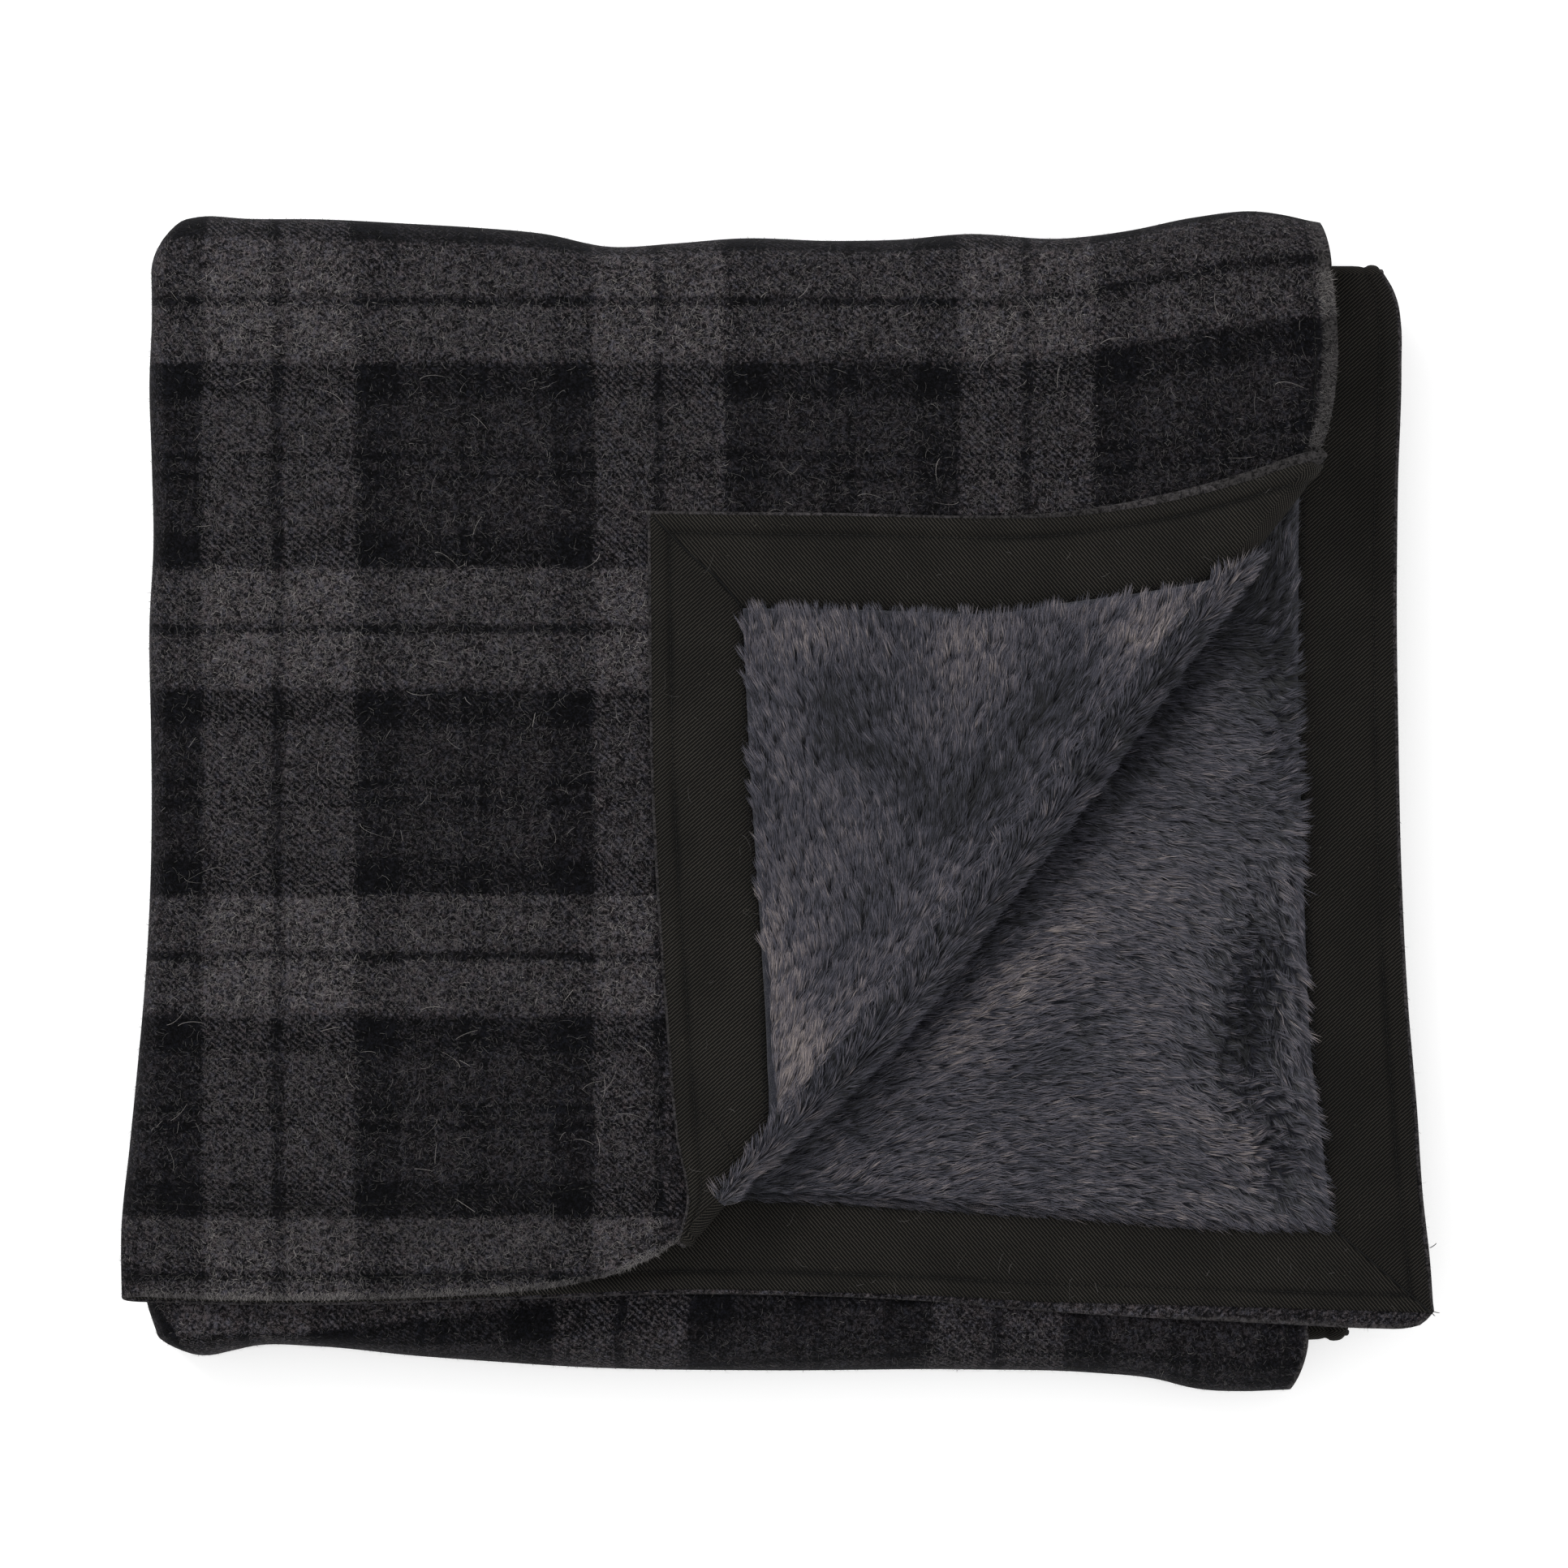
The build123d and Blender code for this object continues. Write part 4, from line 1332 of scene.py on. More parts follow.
def tubes(paths, radius, sides=5):
    """Tubes through point lists of equal length, narrowed at their ends."""
    paths = np.asarray(paths, float)
    count, length, _ = paths.shape
    tangent = np.gradient(paths, axis=1)
    tangent /= np.maximum(np.linalg.norm(tangent, axis=2, keepdims=True), 1e-9)
    across = np.cross(tangent, np.broadcast_to(np.array([0.03, 0.05, 1.0]), tangent.shape))
    across /= np.maximum(np.linalg.norm(across, axis=2, keepdims=True), 1e-9)
    up = np.cross(across, tangent)
    radii = np.full(length, 1.0) * radius
    radii[[0, -1]] *= 0.45
    angle = np.linspace(0, 2 * math.pi, sides, endpoint=False)[None, None, :, None]
    circle = across[:, :, None] * np.cos(angle) + up[:, :, None] * np.sin(angle)
    verts = paths[:, :, None] + radii[None, :, None, None] * circle
    ids = np.arange(count * length * sides).reshape(count, length, sides)
    near, far = ids[:, :-1], ids[:, 1:]
    quads = np.stack([near, far, np.roll(far, -1, 2), np.roll(near, -1, 2)], -1)
    faces = [quads.reshape(-1, 4)]
    for end, flip in ((ids[:, 0], False), (ids[:, -1], True)):
        for j in range(1, sides - 1):
            fan = np.stack([end[:, 0], end[:, j], end[:, j + 1]], -1)
            faces.append(fan[:, ::-1] if flip else fan)
    return verts.reshape(-1, 3), faces


def at_run(points, run, places):
    return np.stack([np.interp(places, run, points[:, j]) for j in range(3)], -1)


def dashes(line, pitch=3.5, length=2.7):
    """Separate stitches along a line in space."""
    run = run_lengths(line)
    starts = np.arange(0.5, run[-1] - 0.2, pitch)
    return at_run(line, run, starts[:, None] + np.linspace(0, 1, 5)[None] * length)


def zigzag(line, across):
    """Zigzag seam along a line in space. across is a unit vector per point."""
    run = run_lengths(line)
    turns = np.arange(int(run[-1] // ZIGZAG_STEP) + 1)
    swing = (ZIGZAG_SWING * np.where(turns % 2 == 0, 1, -1))[:, None]
    places = turns * ZIGZAG_STEP
    corners = at_run(line, run, places) + at_run(across, run, places) * swing
    return np.stack([corners[:-1] * (1 - share) + corners[1:] * share
                     for share in (0.03, 0.35, 0.65, 0.97)], 1)


threads = {}


def sew(seam, stitches, lift, dip=0.28):
    """Queue stitches for one seam piece, arched by lift and dipping into the cloth."""
    stitches = stitches.copy()
    arc = np.sin(np.linspace(0, math.pi, stitches.shape[1])) ** 0.5
    stitches[..., 2] += (lift * arc - np.sign(lift) * dip * (1 - arc))[None]
    threads.setdefault(seam, []).append(stitches)


def sew_band(part, sheet, outer, inner):
    """Topstitch 10 mm in from the edge on both faces, and a zigzag at the band's inner edge."""
    def across_band(share):
        plan = outer * (1 - share) + inner * share
        return on_sheet(sheet, plan, WOOL + BAND_GAP + float(band_thickness(share)))

    pile_side = PILE_SIDE[sheet]
    stitch_line = outer * 0.8 + inner * 0.2
    sew(part + "_topstitch", dashes(across_band(0.2)), pile_side * 0.22)
    sew(part + "_topstitch", dashes(on_sheet(sheet, stitch_line)), -pile_side * 0.12, dip=0.3)
    across = inner - outer
    across = across / np.linalg.norm(across, axis=1, keepdims=True)
    across = np.column_stack([across, np.zeros(len(across))])
    sew(part + "_edge_seam", zigzag(across_band(0.965), across), pile_side * 0.35, dip=0.1)


for name, (sheet, outer, inner) in bands.items():
    sew_band(name.split("_")[0], sheet, outer, inner)
# A second row on the plaid where the band's inner edge is caught down
front_x = FRONT[1].even(90)[:, 0]
for line in (np.column_stack([front_x, FRONT[1].y_of(front_x) + 49.5]),
             beside(EDGE[1], 47.5, 205.0, BACK_Y, 40)):
    sew("top_topstitch", dashes(on_sheet(1, line)), lift=0.12, dip=0.3)
# Mitres, and a short seam across the corner's left band
for part, sheet, line, depth, length, lift in (
        ("top", 2, TOP_MITRE, 1.1, 1.9, 0.3),
        ("corner", "corner", CORNER_MITRE, 1.1, 1.9, 0.3),
        ("corner", "corner", CORNER_SHORT_SEAM, 1.45, 2.0, 0.35)):
    stitches = dashes(on_sheet(sheet, line, WOOL + depth), pitch=2.2, length=length)
    sew(part + "_mitre_seam", stitches, lift)


def thread_and_shade_object(name, verts, faces, body, material=THREAD_MATERIAL, replaces=None):
    obj = mesh_object(name, verts, faces, verts[:, :2] * METRES, material)
    if replaces:
        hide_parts(replaces)
    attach(obj, body)


for seam, groups in threads.items():
    verts, faces, total = [], [], 0
    for stitches in groups:
        radius = ZIGZAG_RADIUS if "edge" in seam else STITCH_RADIUS
        group_verts, group_faces = tubes(stitches, radius)
        verts.append(group_verts)
        faces += [part + total for part in group_faces]
        total += len(group_verts)
    thread_and_shade_object(seam + "_threads", np.vstack(verts), faces, BODY[seam.split("_")[0]],
                  replaces=seam)

# Painted shade: near-black tubes along the lines where the mitred bands meet
for part, sheet, line, lift in (("top", 2, TOP_MITRE, 0.12),
                                ("corner", "corner", CORNER_MITRE, 0.2)):
    depth = WOOL + BAND_GAP + band_thickness(np.linspace(0, 1, 40)) + lift
    verts, faces = tubes(on_sheet(sheet, line, depth)[None], radius=0.62, sides=6)
    thread_and_shade_object(part + "_mitre_crease_shade", verts, faces, BODY[part], GAP_SHADE_MATERIAL)


# ---------- strands ----------
def scatter(grid, count, mask=None):
    """Random points spread evenly by area: position, normal, fractional row and column."""
    corners = grid[:-1, :-1], grid[:-1, 1:], grid[1:, 1:], grid[1:, :-1]
    normals = np.cross(corners[2] - corners[0], corners[3] - corners[1])
    area = np.linalg.norm(normals, axis=2) / 2
    if mask is not None:
        area = area * mask(*np.moveaxis(sum(corners) / 4, -1, 0))
    total = np.cumsum(area.ravel())
    total /= total[-1]
    cell = np.minimum(np.searchsorted(total, rng.random(count)), area.size - 1)
    row, col = np.divmod(cell, area.shape[1])
    right, back = rng.random(count), rng.random(count)
    points = (grid[row, col] * ((1 - right) * (1 - back))[:, None]
              + grid[row, col + 1] * (right * (1 - back))[:, None]
              + grid[row + 1, col + 1] * (right * back)[:, None]
              + grid[row + 1, col] * ((1 - right) * back)[:, None])
    normal = normals[row, col]
    normal = normal / np.maximum(np.linalg.norm(normal, axis=1, keepdims=True), 1e-9)
    return points, normal, row + back, col + right


def facing(normal, toward, points):
    """Normals turned towards a direction, fixed or worked out from the points."""
    toward = toward(points) if callable(toward) else np.array(toward, float)[None]
    sign = np.sign((normal * toward).sum(1, keepdims=True))
    sign[sign == 0] = 1
    return normal * sign


def in_surface(direction, normal):
    return direction - normal * (direction * normal).sum(1, keepdims=True)


def turned_about(direction, normal, angle):
    return (direction * np.cos(angle)[:, None]
            + np.cross(normal, direction) * np.sin(angle)[:, None])


def ribbons(root, normal, direction, length, width, lift_root, lift_tip, sway, steps=3,
            clump=None, tip=0.12):
    """Flat tapering fibres. lift is the angle off the cloth, clump (centres, pull)."""
    count = len(root)
    direction = in_surface(direction, normal)
    direction /= np.maximum(np.linalg.norm(direction, axis=1, keepdims=True), 1e-9)
    across = np.cross(direction, normal)
    points = [root]
    for j in range(steps):
        share = (j + 0.5) / steps
        angle = lift_root * (1 - share) + lift_tip * share
        step = (direction * np.cos(angle)[:, None] + normal * np.sin(angle)[:, None]
                + across * (sway * share)[:, None])
        points.append(points[-1] + step * (length / steps)[:, None])
    points = np.stack(points, 1)
    if clump is not None:
        centre, pull = clump
        goal = centre + direction * (length * 0.86)[:, None]
        for j in range(1, steps + 1):
            move = in_surface(goal - points[:, -1], normal)
            points[:, j] += move * (pull * (j / steps) ** 1.4)[:, None]
    profile = np.linspace(1.0, tip, steps + 1) ** 0.8
    half = (width / 2)[:, None, None] * profile[None, :, None] * across[:, None]
    left, right = points[:, :-1] - half[:, :-1], points[:, :-1] + half[:, :-1]
    verts = np.concatenate([np.stack([left, right], 2).reshape(count, -1, 3),
                            points[:, -1:]], 1)
    each = verts.shape[1]
    base = (np.arange(count) * each)[:, None]
    quads = [base + np.array([2 * j, 2 * j + 1, 2 * j + 3, 2 * j + 2])[None]
             for j in range(steps - 1)]
    tips = base + np.array([2 * steps - 2, 2 * steps - 1, 2 * steps])[None]
    along = np.r_[np.repeat(np.arange(steps) / steps, 2), 1.0]
    return verts.reshape(-1, 3), [np.vstack(quads), tips], np.tile(along, count), each


def fibre_object(name, made, tone, material, body, turn=None):
    verts, faces, along, each = made
    uv = np.column_stack([np.repeat(tone, each), along])
    obj = mesh_object(name, verts, faces, uv, material, layer="OFBake")
    ride(obj, body)


def keep_off_floor(made):
    verts = made[0]
    verts[:, 2] = np.maximum(verts[:, 2], 0.15 + 0.6 * rng.random(len(verts)))


def fraction(value):
    return value - np.floor(value)


def clump_centres(points, cell, seed):
    """Nearest jittered lattice point in plan, a random share for it, and its distance."""
    home = np.floor(points[:, :2] / cell)
    best = np.full(len(points), 1e9)
    centres = np.zeros((len(points), 2))
    for i in (-1, 0, 1):
        for j in (-1, 0, 1):
            place = home + [i, j]
            jitter_x = np.sin(place[:, 0] * 127.1 + place[:, 1] * 311.7 + seed)
            jitter_y = np.sin(place[:, 0] * 269.5 + place[:, 1] * 183.3 + seed * 1.7)
            jitter = fraction(np.stack([jitter_x, jitter_y], -1) * 43758.5453)
            centre = (place + 0.15 + 0.7 * jitter) * cell
            distance = ((centre - points[:, :2]) ** 2).sum(1)
            closer = distance < best
            best[closer] = distance[closer]
            centres[closer] = centre[closer]
    chance = fraction(np.sin(centres[:, 0] * 12.9898 + centres[:, 1] * 78.233) * 43758.5453)
    return centres, chance, np.sqrt(best)


def angle_field(table, x, y):
    """Directions blended from a table of known ones."""
    sum_x, sum_y = np.zeros(len(x)), np.zeros(len(x))
    for at_x, at_y, angle in table:
        weight = 1.0 / (((x - at_x) ** 2 + (y - at_y) ** 2) + 120.0) ** 1.5
        sum_x += weight * math.cos(math.radians(angle))
        sum_y += weight * math.sin(math.radians(angle))
    length = np.hypot(sum_x, sum_y)
    return np.column_stack([sum_x / length, sum_y / length, np.zeros(len(x))])


def patches(x, y, table):
    """Sum of soft oval spots."""
    total = np.zeros(len(x))
    for at_x, at_y, radius_x, radius_y, turn, amount in table:
        cos, sin = math.cos(math.radians(turn)), math.sin(math.radians(turn))
        wide = ((x - at_x) * cos + (y - at_y) * sin) / radius_x
        deep = (-(x - at_x) * sin + (y - at_y) * cos) / radius_y
        total += amount * np.exp(-(wide * wide + deep * deep))
    return total


# Lie of the pile: x, y, direction in degrees
CORNER_LIE = [
    (-12, 90, 97), (40, 85, 100), (120, 80, 80), (200, 95, 65), (245, 120, 50), (-5, 30, 105),
    (50, 20, 110), (100, 20, 78), (160, 40, 55), (-5, -60, 100), (40, -50, 100), (90, -60, 50),
    (130, -20, 40), (0, -130, 75), (40, -110, 60), (60, -115, 35), (10, -170, 50),
    (-15, -200, 30)]
OPEN_LIE = [
    (161, -59, -12), (177, -92, -10), (210, -51, -20), (235, -67, -38), (243, -89, -65),
    (268, -59, -62), (274, 23, 15), (243, -141, -40), (235, -171, -15), (161, -141, -3),
    (128, -125, 10), (111, -100, 22), (177, -191, -5), (260, -199, -35), (108, -158, -3),
    (67, -178, 15), (40, -192, 20), (129, -89, 15), (266, 136, 70), (251, 75, -15),
    (242, 51, -20), (224, 18, -15), (198, -25, -15), (276, -89, -64), (277, -130, -60),
    (281, -160, -48), (284, -210, -42), (274, 90, 60)]
# Painted sheen and shade on the pile, as lighter and darker patches: x, y, half width, half
# depth, turn in degrees, amount
CORNER_SHEEN_AND_SHADE = [
    (20, 83, 34, 13, 0, 0.24), (95, 84, 22, 12, -20, 0.20), (-4, -111, 22, 62, 10, 0.26),
    (18, -145, 24, 34, 40, 0.22), (224, 100, 34, 12, 45, 0.24), (192, 84, 26, 20, 30, 0.18),
    (36, 48, 30, 22, 0, -0.24), (70, 12, 22, 18, 0, -0.16), (103, -3, 30, 22, 20, -0.20),
    (147, 52, 28, 20, 20, -0.16), (92, -8, 170, 12, 51, -0.17), (-8, 20, 8, 40, 0, -0.1),
    (46, 22, 17, 10, 0, -0.20), (60, 93, 24, 9, 0, -0.12), (188, 88, 24, 16, 0, 0.10),
    (72, -120, 14, 12, 0, 0.10)]
OPEN_SHEEN_AND_SHADE = [
    (116, -100, 64, 15, 42, 0.26), (224, -3, 26, 18, -20, -0.04), (228, -168, 22, 14, -30, 0.20),
    (192, -95, 22, 40, -10, 0.10), (247, -102, 19, 54, -6, -0.32), (228, -128, 18, 14, 0, -0.14),
    (269, -104, 6, 44, -4, 0.12), (243, -182, 12, 9, -40, 0.24), (262, -186, 12, 22, 14, -0.18),
    (70, -195, 60, 12, -3, 0.08), (256, 85, 26, 62, 8, -0.30), (283, -40, 9, 60, 0, 0.12),
    (214, -210, 14, 7, 15, 0.20), (132, -140, 30, 14, 40, -0.12)]
# Pile pushed upright and tangled in the hollow beside the right edge
TANGLES = [(247, -102, 18, 50, -6, 1.0), (259, -176, 14, 28, 10, 0.8), (262, 60, 12, 60, 6, 0.35)]
FUR_LENGTH = (8.5, 12.5)


def fur(name, grid, count, direction, tone, body, toward, seed, mask, width=(0.5, 0.78),
        lift=(0.75, 0.10), cell=6.0, pull=0.5, turn_rows=None, tangles=()):
    """Pile strands gathered into locks of size cell."""
    points, normal, row, _ = scatter(grid, count, mask)
    normal = facing(normal, toward, points)
    x, y, z = points.T
    lock, chance, distance = clump_centres(points, cell, seed)
    # Each lock turns a little its own way
    angle = (chance - 0.5) * 0.62 + rng.normal(0, 0.11, count)
    lie = turned_about(in_surface(direction(x, y, row), normal), normal, angle)
    length = rng.uniform(*FUR_LENGTH, count) * (0.80 + 0.36 * chance)
    widths = rng.uniform(*width, count)
    lift_root = lift[0] + rng.normal(0, 0.14, count)
    lift_tip = lift[1] + rng.normal(0, 0.09, count) + 0.12 * (chance - 0.5)
    rise = np.clip(patches(x, y, tangles), 0, 1)
    lift_root = lift_root + 0.30 * rise
    lift_tip = lift_tip + (0.75 + 0.5 * (chance - 0.5)) * rise
    lie = turned_about(lie, normal, (chance - 0.5) * 2.6 * rise)
    length = length * (1 - 0.25 * rise)
    # Small tufts within each lock
    tuft_cell = cell * 0.36
    tuft, tuft_chance, tuft_distance = clump_centres(points, tuft_cell, seed + 7.3)
    centres = np.column_stack([lock * 0.45 + tuft * 0.55, z])
    pulls = np.full(count, pull) * rng.uniform(0.7, 1.2, count)
    made = ribbons(points - normal * 0.4, normal, lie, length, widths, lift_root, lift_tip,
                   sway=rng.normal(0, 0.13, count), clump=(centres, pulls))
    # Strands are darker towards the edges of their locks and tufts: painted shade in the gaps
    # between them
    shade = (tone(x, y, z) + (chance - 0.5) * 0.17 + (tuft_chance - 0.5) * 0.45
             + rng.normal(0, 0.07, count) - 0.15 * smooth((distance / cell - 0.26) / 0.34)
             - 0.28 * smooth((tuft_distance / tuft_cell - 0.36) / 0.22) + 0.11)
    # In the tangles, lock centres are lighter and lock edges darker: painted light and shade
    shade = shade + rise * ((chance - 0.5) * 0.40
                            + 0.5 * (0.5 - smooth((distance / cell - 0.10) / 0.4)))
    keep_off_floor(made)
    fibre_object(name, made, np.clip(shade, 0.01, 0.99), PILE_MATERIAL, body,
                 None if turn_rows is None else row / turn_rows)


UP = (0, 0, 1)


def corner_tone_and_sheen(x, y, z):
    # Base tone, painted sheen and shade patches, and random variation
    return 0.485 + patches(x, y, CORNER_SHEEN_AND_SHADE) + 0.14 * noise(x, y, 34, 101, 3)


def corner_mask(x, y, z):
    in_back = CORNER_INNER_BACK.y_of(x) - y > 6.2 + 2.3 * noise(x, 0, 26, 5)
    in_left = x - CORNER_INNER_LEFT.x_of(y) > 2.9 + 1.2 * noise(y, 4, 24, 6)
    return in_back * in_left * 1.0


for name, grid, count in (("corner_fur_left", corner_pile[:76], 38500),
                          ("corner_fur_right", corner_pile[75:], 35500)):
    fur(name, grid, count, lambda x, y, row: angle_field(CORNER_LIE, x, y), corner_tone_and_sheen,
        "turned_corner", UP, seed=3.0, mask=corner_mask, width=(0.32, 0.52),
        lift=(0.68, 0.08), cell=4.5, pull=0.68)


def open_tone_sheen_and_shadow(x, y, z):
    # Painted sheen and shade patches, and a painted shadow cast by the crease roll
    beyond = crease_out(x, y) - crease_reach(crease_along(x, y))
    shadow = -0.22 * smooth(1 - beyond / 22)
    return 0.45 + patches(x, y, OPEN_SHEEN_AND_SHADE) + shadow + 0.10 * noise(x, y, 40, 103, 3)


def open_mask(x, y):
    """The part of sheet 2's lining that lies open."""
    inside = INNER[2].x_of(y) - x > 3.4 + 1.5 * noise(y, 2, 22, 8)
    return smooth((crease_out(x, y) + 4) / 8) * inside


sheet_2_pile = lining["top"][1][:, :SHEET_STEPS + 1][:, ::-1]
for name, count, half in (("open_lining_fur_front", 39500, lambda y: y < -70),
                          ("open_lining_fur_back", 32000, lambda y: y >= -70)):
    fur(name, sheet_2_pile, count, lambda x, y, row: angle_field(OPEN_LIE, x, y), open_tone_sheen_and_shadow,
        "top_fold", UP, seed=9.0, mask=lambda x, y, z: open_mask(x, y) * half(y),
        width=(0.36, 0.58), lift=(0.64, 0.08), cell=4.2, pull=0.55, tangles=TANGLES)


def crease_lie(x, y, row):
    angle = row / 22 * math.pi
    down = (np.array([*CREASE_OUT, 0.0])[None] * np.cos(angle)[:, None]
            + np.array([0, 0, -1.0])[None] * np.sin(angle)[:, None])
    return np.array([*CREASE_DIR, 0.0])[None] * 0.78 + down * 0.62


def crease_tone_and_highlight(x, y, z):
    along = crease_along(x, y)
    above = z - height_1(*on_crease(np.clip(along, 0, CREASE_LENGTH)).T)
    # Lighter towards the top of the roll, a painted highlight, with random variation and lighter
    # stretches towards both ends
    return (0.26 + 0.05 * smooth((above + 2) / 12) + 0.14 * noise(along, 1.0, 26, 107)
            + 0.26 * smooth((110 - along) / 60) + 0.22 * smooth((along - 400) / 50))


def crease_outward(points):
    return np.column_stack([np.tile(CREASE_OUT, (len(points), 1)) * 0.6,
                            np.sign(points[:, 2] - 70.0)])


fur("crease_fur", crease_pile, 21000, crease_lie, crease_tone_and_highlight, CREASE_BODIES, crease_outward,
    seed=5.0, mask=lambda x, y, z: (z > 58) * 1.0, lift=(0.6, 0.12), turn_rows=22)


# ---------- raised nap ----------
def plaid_tone(u, v):
    """Tone of the cloth, 0 black to 1 light, from its own millimetres."""
    def stripes(value, half):
        share = np.abs(((value + half) % (2 * half)) - half) / half
        return np.interp(share, [0, 0.02, 0.036, 0.345, 0.364, 0.585, 0.605, 1],
                         [0.05, 0.1, 1, 1, 0, 0, 0.26, 0.26])

    return 0.38 * stripes(u, HALF_REPEAT_U) + 0.62 * stripes(v, HALF_REPEAT_V)


def nap(name, grid, grid_uv, count, body, toward, length=(1.6, 4.0), lift=(0.8, 0.2),
        mask=None, turn_rows=None, lean=(0, 0, 0), bright=0.0):
    """Short fibres raised from the plaid, thicker where it is light."""
    points, normal, row, col = scatter(grid, count, mask)
    normal = facing(normal, toward, points)
    u, v = split(grid_uv[row.astype(int), col.astype(int)] * 1000)
    value = plaid_tone(u, v)
    keep = rng.random(count) < 0.16 + 1.1 * value
    points, normal, row, value = points[keep], normal[keep], row[keep], value[keep]
    count = len(points)
    tone = 0.03 + 0.60 * value + rng.normal(0, 0.12, count) + bright
    tone = tone + 0.3 * (rng.random(count) < 0.03)
    angle = rng.uniform(0, 2 * math.pi, count)
    direction = np.column_stack([np.cos(angle), np.sin(angle), rng.uniform(-0.3, 0.3, count)])
    direction = direction * 0.8 + np.array(lean)[None]
    lengths = rng.uniform(*length, count) * rng.uniform(0.6, 1.2, count)
    widths = rng.uniform(0.14, 0.26, count)
    lift_root = lift[0] + rng.normal(0, 0.2, count)
    lift_tip = lift[1] + rng.normal(0, 0.15, count)
    made = ribbons(points - normal * 0.15, normal, direction, lengths, widths, lift_root,
                   lift_tip, sway=rng.normal(0, 0.9, count), tip=0.35)
    keep_off_floor(made)
    fibre_object(name, made, np.clip(tone, 0.01, 0.99), FIBRE_MATERIAL, body,
                 None if turn_rows is None else row / turn_rows)


# Columns of a pair
FIRST_SHEET = slice(0, SHEET_STEPS + 1)
FOLD = slice(SHEET_STEPS, SHEET_STEPS + FOLD_STEPS + 1)
SECOND_SHEET = slice(SHEET_STEPS + FOLD_STEPS, None)


def pair_nap(name, pair, cols, count, toward, rows=slice(None), **options):
    nap(name, wool[pair][0][rows, cols], wool_uv[pair][rows, cols], count, BODY[pair], toward,
        **options)


def left_part(x, y, z):
    return (x < -120) * 1.0


def right_part(x, y, z):
    """Right part of sheet 1, without the area well under the turned corner."""
    uncovered = np.where((x > -62) & (y < 148), 0.0, 1.0)
    return (x >= -120) * (crease_out(x, y) < 0) * uncovered


def hem_mask(x, y, z):
    return ((y - FRONT[1].y_of(x)) < 4) * 1.0


def right_edge_mask(x, y, z):
    return ((EDGE[1].x_of(y) - x) < 8) * (y > 188) * 1.0


def lower_edge_mask(x, y, z):
    return (((y - FRONT[2].y_of(x)) < 10) | ((EDGE[2].x_of(y) - x) < 6)) * 1.0


def top_fold_outward(points):
    count = len(points)
    return np.column_stack([-np.ones(count), np.zeros(count), (points[:, 2] - 60) * 0.05])


OUT_LEFT = (-1, 0, 0)
FLAT_NAP = dict(length=(1.6, 4.6), lift=(0.6, -0.15))
pair_nap("top_nap_left", "top", SECOND_SHEET, 46000, UP, mask=left_part, **FLAT_NAP)
pair_nap("top_nap_right", "top", SECOND_SHEET, 26000, UP, mask=right_part, **FLAT_NAP)
pair_nap("top_nap_hem", "top", SECOND_SHEET, 1700, UP, mask=hem_mask, length=(1.6, 3.8),
         lift=(0.7, -0.1), lean=(0, -1.2, 0), bright=-0.02)
# Lighter fibres on the strip beside the right edge of sheet 1: fuzzy nap and painted highlight
pair_nap("top_nap_edge", "top", SECOND_SHEET, 1500, UP, mask=right_edge_mask,
         length=(1.8, 4.6), lift=(0.7, 0.0), lean=(1.2, 0, 0), bright=0.16)
pair_nap("top_nap_fold", "top", FOLD, 5200, top_fold_outward, bright=0.04)
pair_nap("top_nap_lower", "top", FIRST_SHEET, 5200, (0, 0, -1), mask=lower_edge_mask,
         length=(1.6, 4.2), lift=(0.35, 0.3), lean=(0.3, -1.0, 0), bright=-0.02)
pair_nap("middle_nap_front", "middle", FIRST_SHEET, 5200, UP, rows=slice(0, 7), **FLAT_NAP)
pair_nap("middle_nap_fold", "middle", FOLD, 4200, OUT_LEFT)
pair_nap("base_nap_fold", "base", FOLD, 3600, OUT_LEFT)


def add_roll_nap(side):
    roll = ROLLS[side]
    grid, uv = wool_rolls[side]

    def outward(points):
        count = len(points)
        return np.column_stack([np.zeros(count), roll.sign * np.ones(count),
                                (points[:, 2] - roll.middle_z) * 0.06])

    nap(side + "_roll_plaid_wool_nap", grid, uv, 12000, roll_bodies(roll), outward,
        length=(1.6, 4.2), lift=(0.7, 0.1), turn_rows=grid.shape[0] - 1)


for side in ROLLS:
    add_roll_nap(side)


# ---------- loose hairs and thread ends ----------
def strays(name, grid, count, body, tone, length, width, mask=None):
    points, normal, _, _ = scatter(grid, count, mask)
    normal = facing(normal, UP, points)
    angle = rng.uniform(0, 2 * math.pi, count)
    direction = np.column_stack([np.cos(angle), np.sin(angle), np.zeros(count)])
    lengths, widths = rng.uniform(*length, count), rng.uniform(*width, count)
    made = ribbons(points + normal * 0.5, normal, direction, lengths, widths,
                   np.full(count, 0.28), np.full(count, -0.12),
                   sway=rng.normal(0, 2.0, count), steps=8, tip=0.7)
    tones = np.clip(rng.normal(tone, 0.12, count), 0.02, 0.98)
    fibre_object(name, made, tones, FIBRE_MATERIAL, body)


def open_top(x, y, z):
    return left_part(x, y, z) + right_part(x, y, z)


def over_band(name, height):
    sheet = bands[name][0]
    return on_sheet(sheet, band_plan(*bands[name]), height)


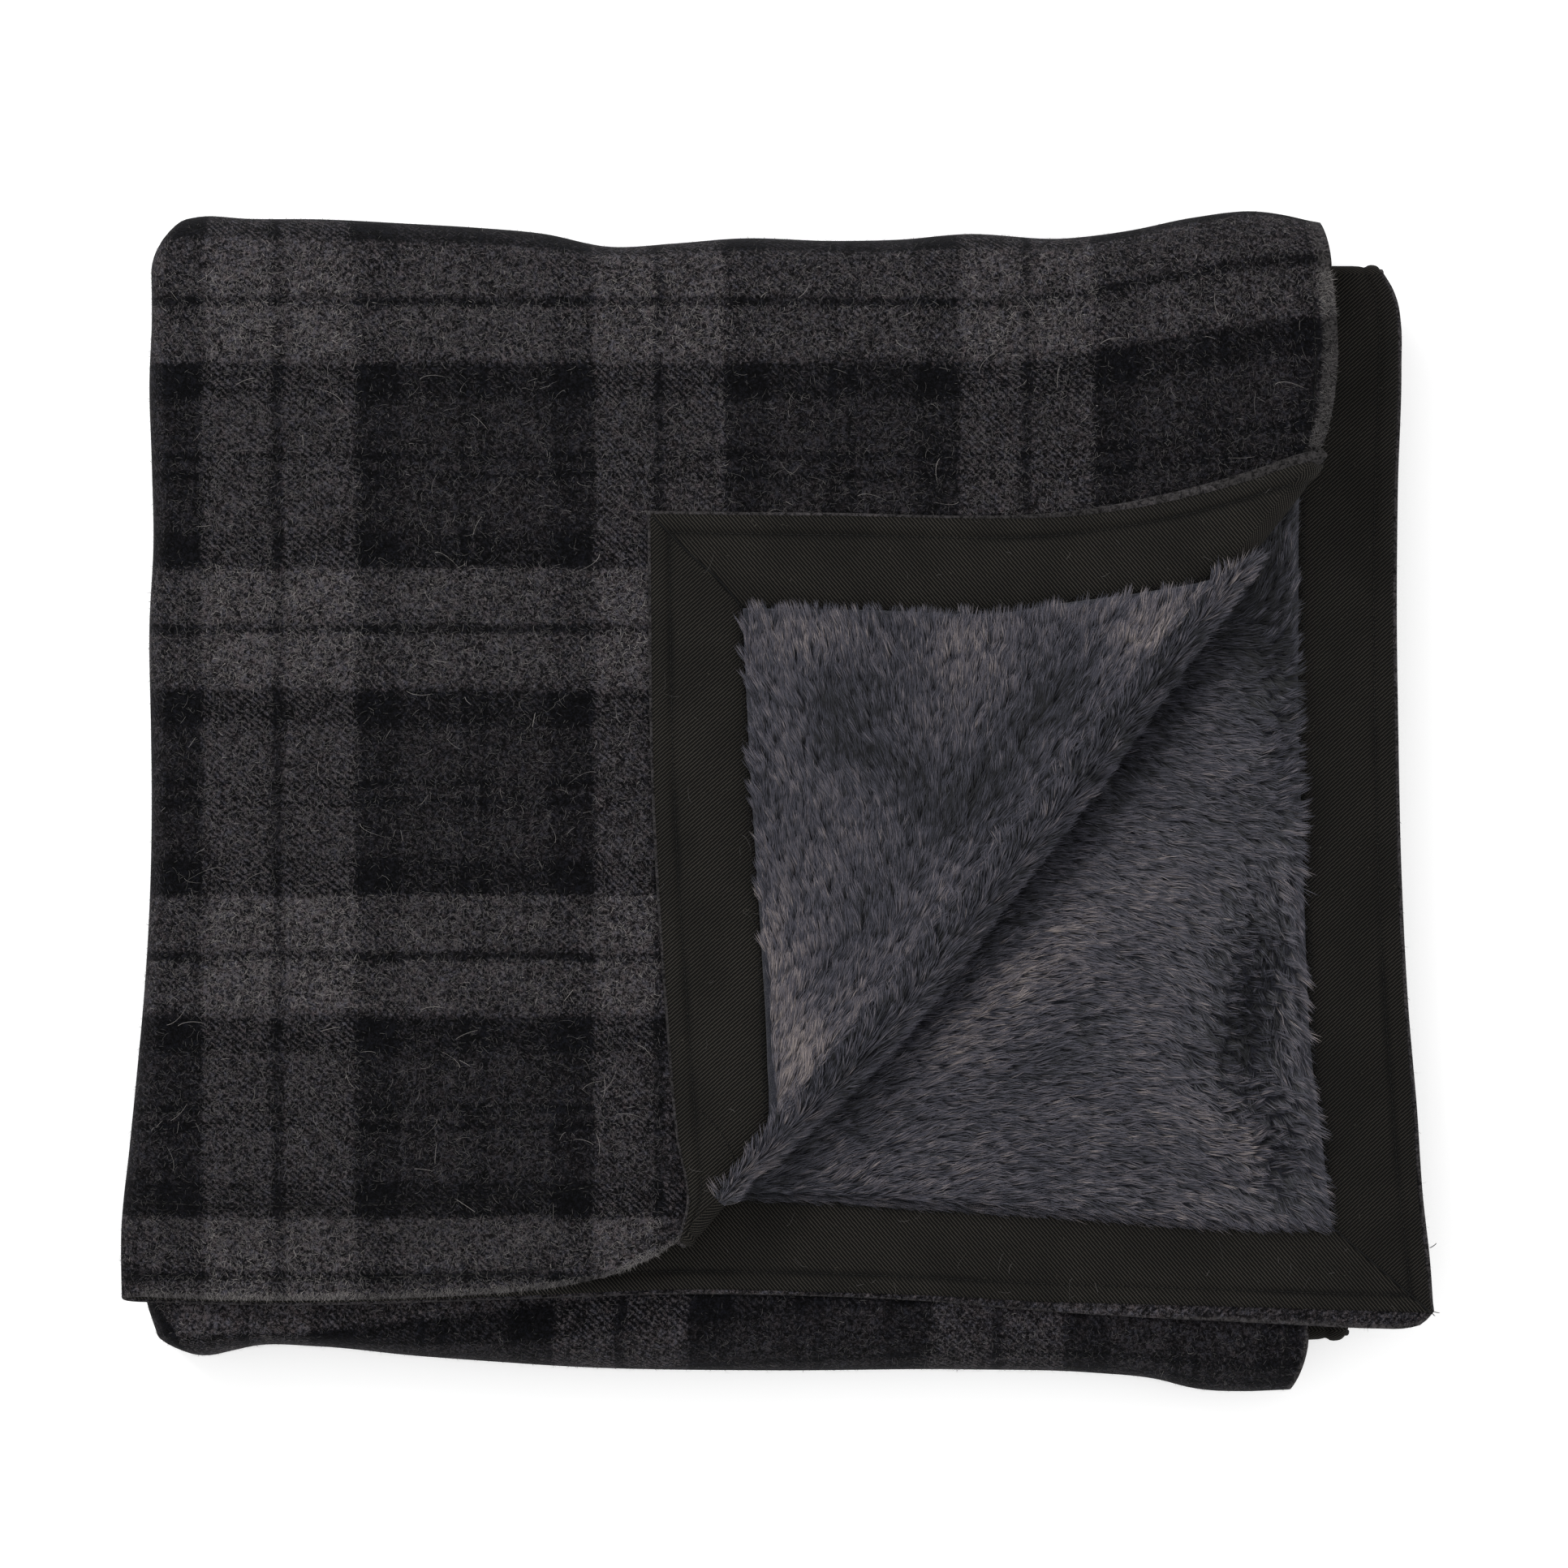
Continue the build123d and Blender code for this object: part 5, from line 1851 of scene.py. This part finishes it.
sheet_1 = wool["top"][0][:, SECOND_SHEET]
strays("top_loose_hairs", sheet_1, 120, "top_fold", tone=0.78, length=(4, 14),
       width=(0.12, 0.20), mask=open_top)
strays("top_short_hairs", sheet_1, 900, "top_fold", tone=0.62, length=(2.2, 6.5),
       width=(0.09, 0.15), mask=open_top)
LINT = dict(tone=0.45, width=(0.10, 0.16))
strays("top_band_lint", over_band("top_band_front_lower", 4.2), 26, "top_fold",
       length=(2, 6), mask=lambda x, y, z: (x > -60) * 1.0, **LINT)
strays("corner_band_lint_left", over_band("corner_band_right", 4.3), 16, "turned_corner",
       length=(2, 7), **LINT)
strays("corner_band_lint_top", over_band("corner_band_front", 4.3), 14, "turned_corner",
       length=(2, 7), **LINT)

THREAD_ENDS = {  # x, y, direction in degrees, length
    "top": (2, [(346.2, -235.6, 20, 4.5), (346.8, -268.6, -30, 5.0),
                (347.0, -268.9, -70, 3.5)]),
    "corner": ("corner", [(-42.6, -214.1, -60, 5.5), (-46.0, -208.0, -120, 7.0)]),
}
for part, (sheet, ends) in THREAD_ENDS.items():
    share = np.linspace(0, 1, 7)
    paths = []
    for x, y, degrees, length in ends:
        cos, sin = math.cos(math.radians(degrees)), math.sin(math.radians(degrees))
        curl = 1.2 * share * share
        z = HEIGHT[sheet](x, y) + 4.2 + 0.5 * share
        paths.append(np.column_stack([x + cos * length * share - sin * curl,
                                      y + sin * length * share + cos * curl, z]))
    verts, faces = tubes(paths, radius=0.24)
    thread_and_shade_object(part + "_thread_ends", verts, faces, BODY[part])


# ---------- floor, light, camera: metres ----------
def add_floor():
    graph = Graph("studio floor")
    graph.finish(graph.ramp(graph.noise(scale=3.0), [(0.3, 0.80), (0.7, 0.82)]), rough=0.9,
                 spec=0.05)
    graph.shader.inputs["Emission Color"].default_value = (1, 1, 1, 1)
    graph.shader.inputs["Emission Strength"].default_value = 0.46
    bpy.ops.mesh.primitive_plane_add(size=8.0, location=(0, 0, 0))
    floor = bpy.context.object
    floor.name = "floor"
    floor.data.materials.append(graph.material)


def add_world():
    """White surroundings, brighter to the camera (1.0) than as light (0.75)."""
    world = bpy.data.worlds.new("studio")
    bpy.context.scene.world = world
    world.use_nodes = True
    tree = world.node_tree
    background = tree.nodes["Background"]
    background.inputs[0].default_value = (1.0, 1.0, 1.0, 1)
    ray = tree.nodes.new("ShaderNodeLightPath")
    strength = tree.nodes.new("ShaderNodeMath")
    strength.operation = "MULTIPLY_ADD"
    tree.links.new(ray.outputs["Is Camera Ray"], strength.inputs[0])
    strength.inputs[1].default_value = 0.25
    strength.inputs[2].default_value = 0.75
    tree.links.new(strength.outputs[0], background.inputs[1])


def add_area_light(name, location, size, power):
    """Square light aimed at the origin."""
    light = bpy.data.lights.new(name, "AREA")
    light.shape = "SQUARE"
    light.size = size
    light.energy = power
    obj = bpy.data.objects.new(name, light)
    bpy.context.scene.collection.objects.link(obj)
    obj.location = location
    obj.rotation_euler = (-Vector(location)).to_track_quat("-Z", "Y").to_euler()


def add_camera():
    """Long lens looking straight down."""
    camera = bpy.data.cameras.new("photo")
    camera.lens = 200
    camera.sensor_width = 36
    camera.clip_end = 50
    obj = bpy.data.objects.new("photo", camera)
    bpy.context.scene.collection.objects.link(obj)
    obj.location = (0.0030, 0.0112, 4.675)
    bpy.context.scene.camera = obj


add_floor()
add_world()
add_area_light("key", (-1.3, 1.5, 1.7), size=1.2, power=34)
add_area_light("fill", (1.6, -1.0, 2.0), size=2.0, power=10)
add_camera()

# ---------- update --------
bpy.context.view_layer.update()
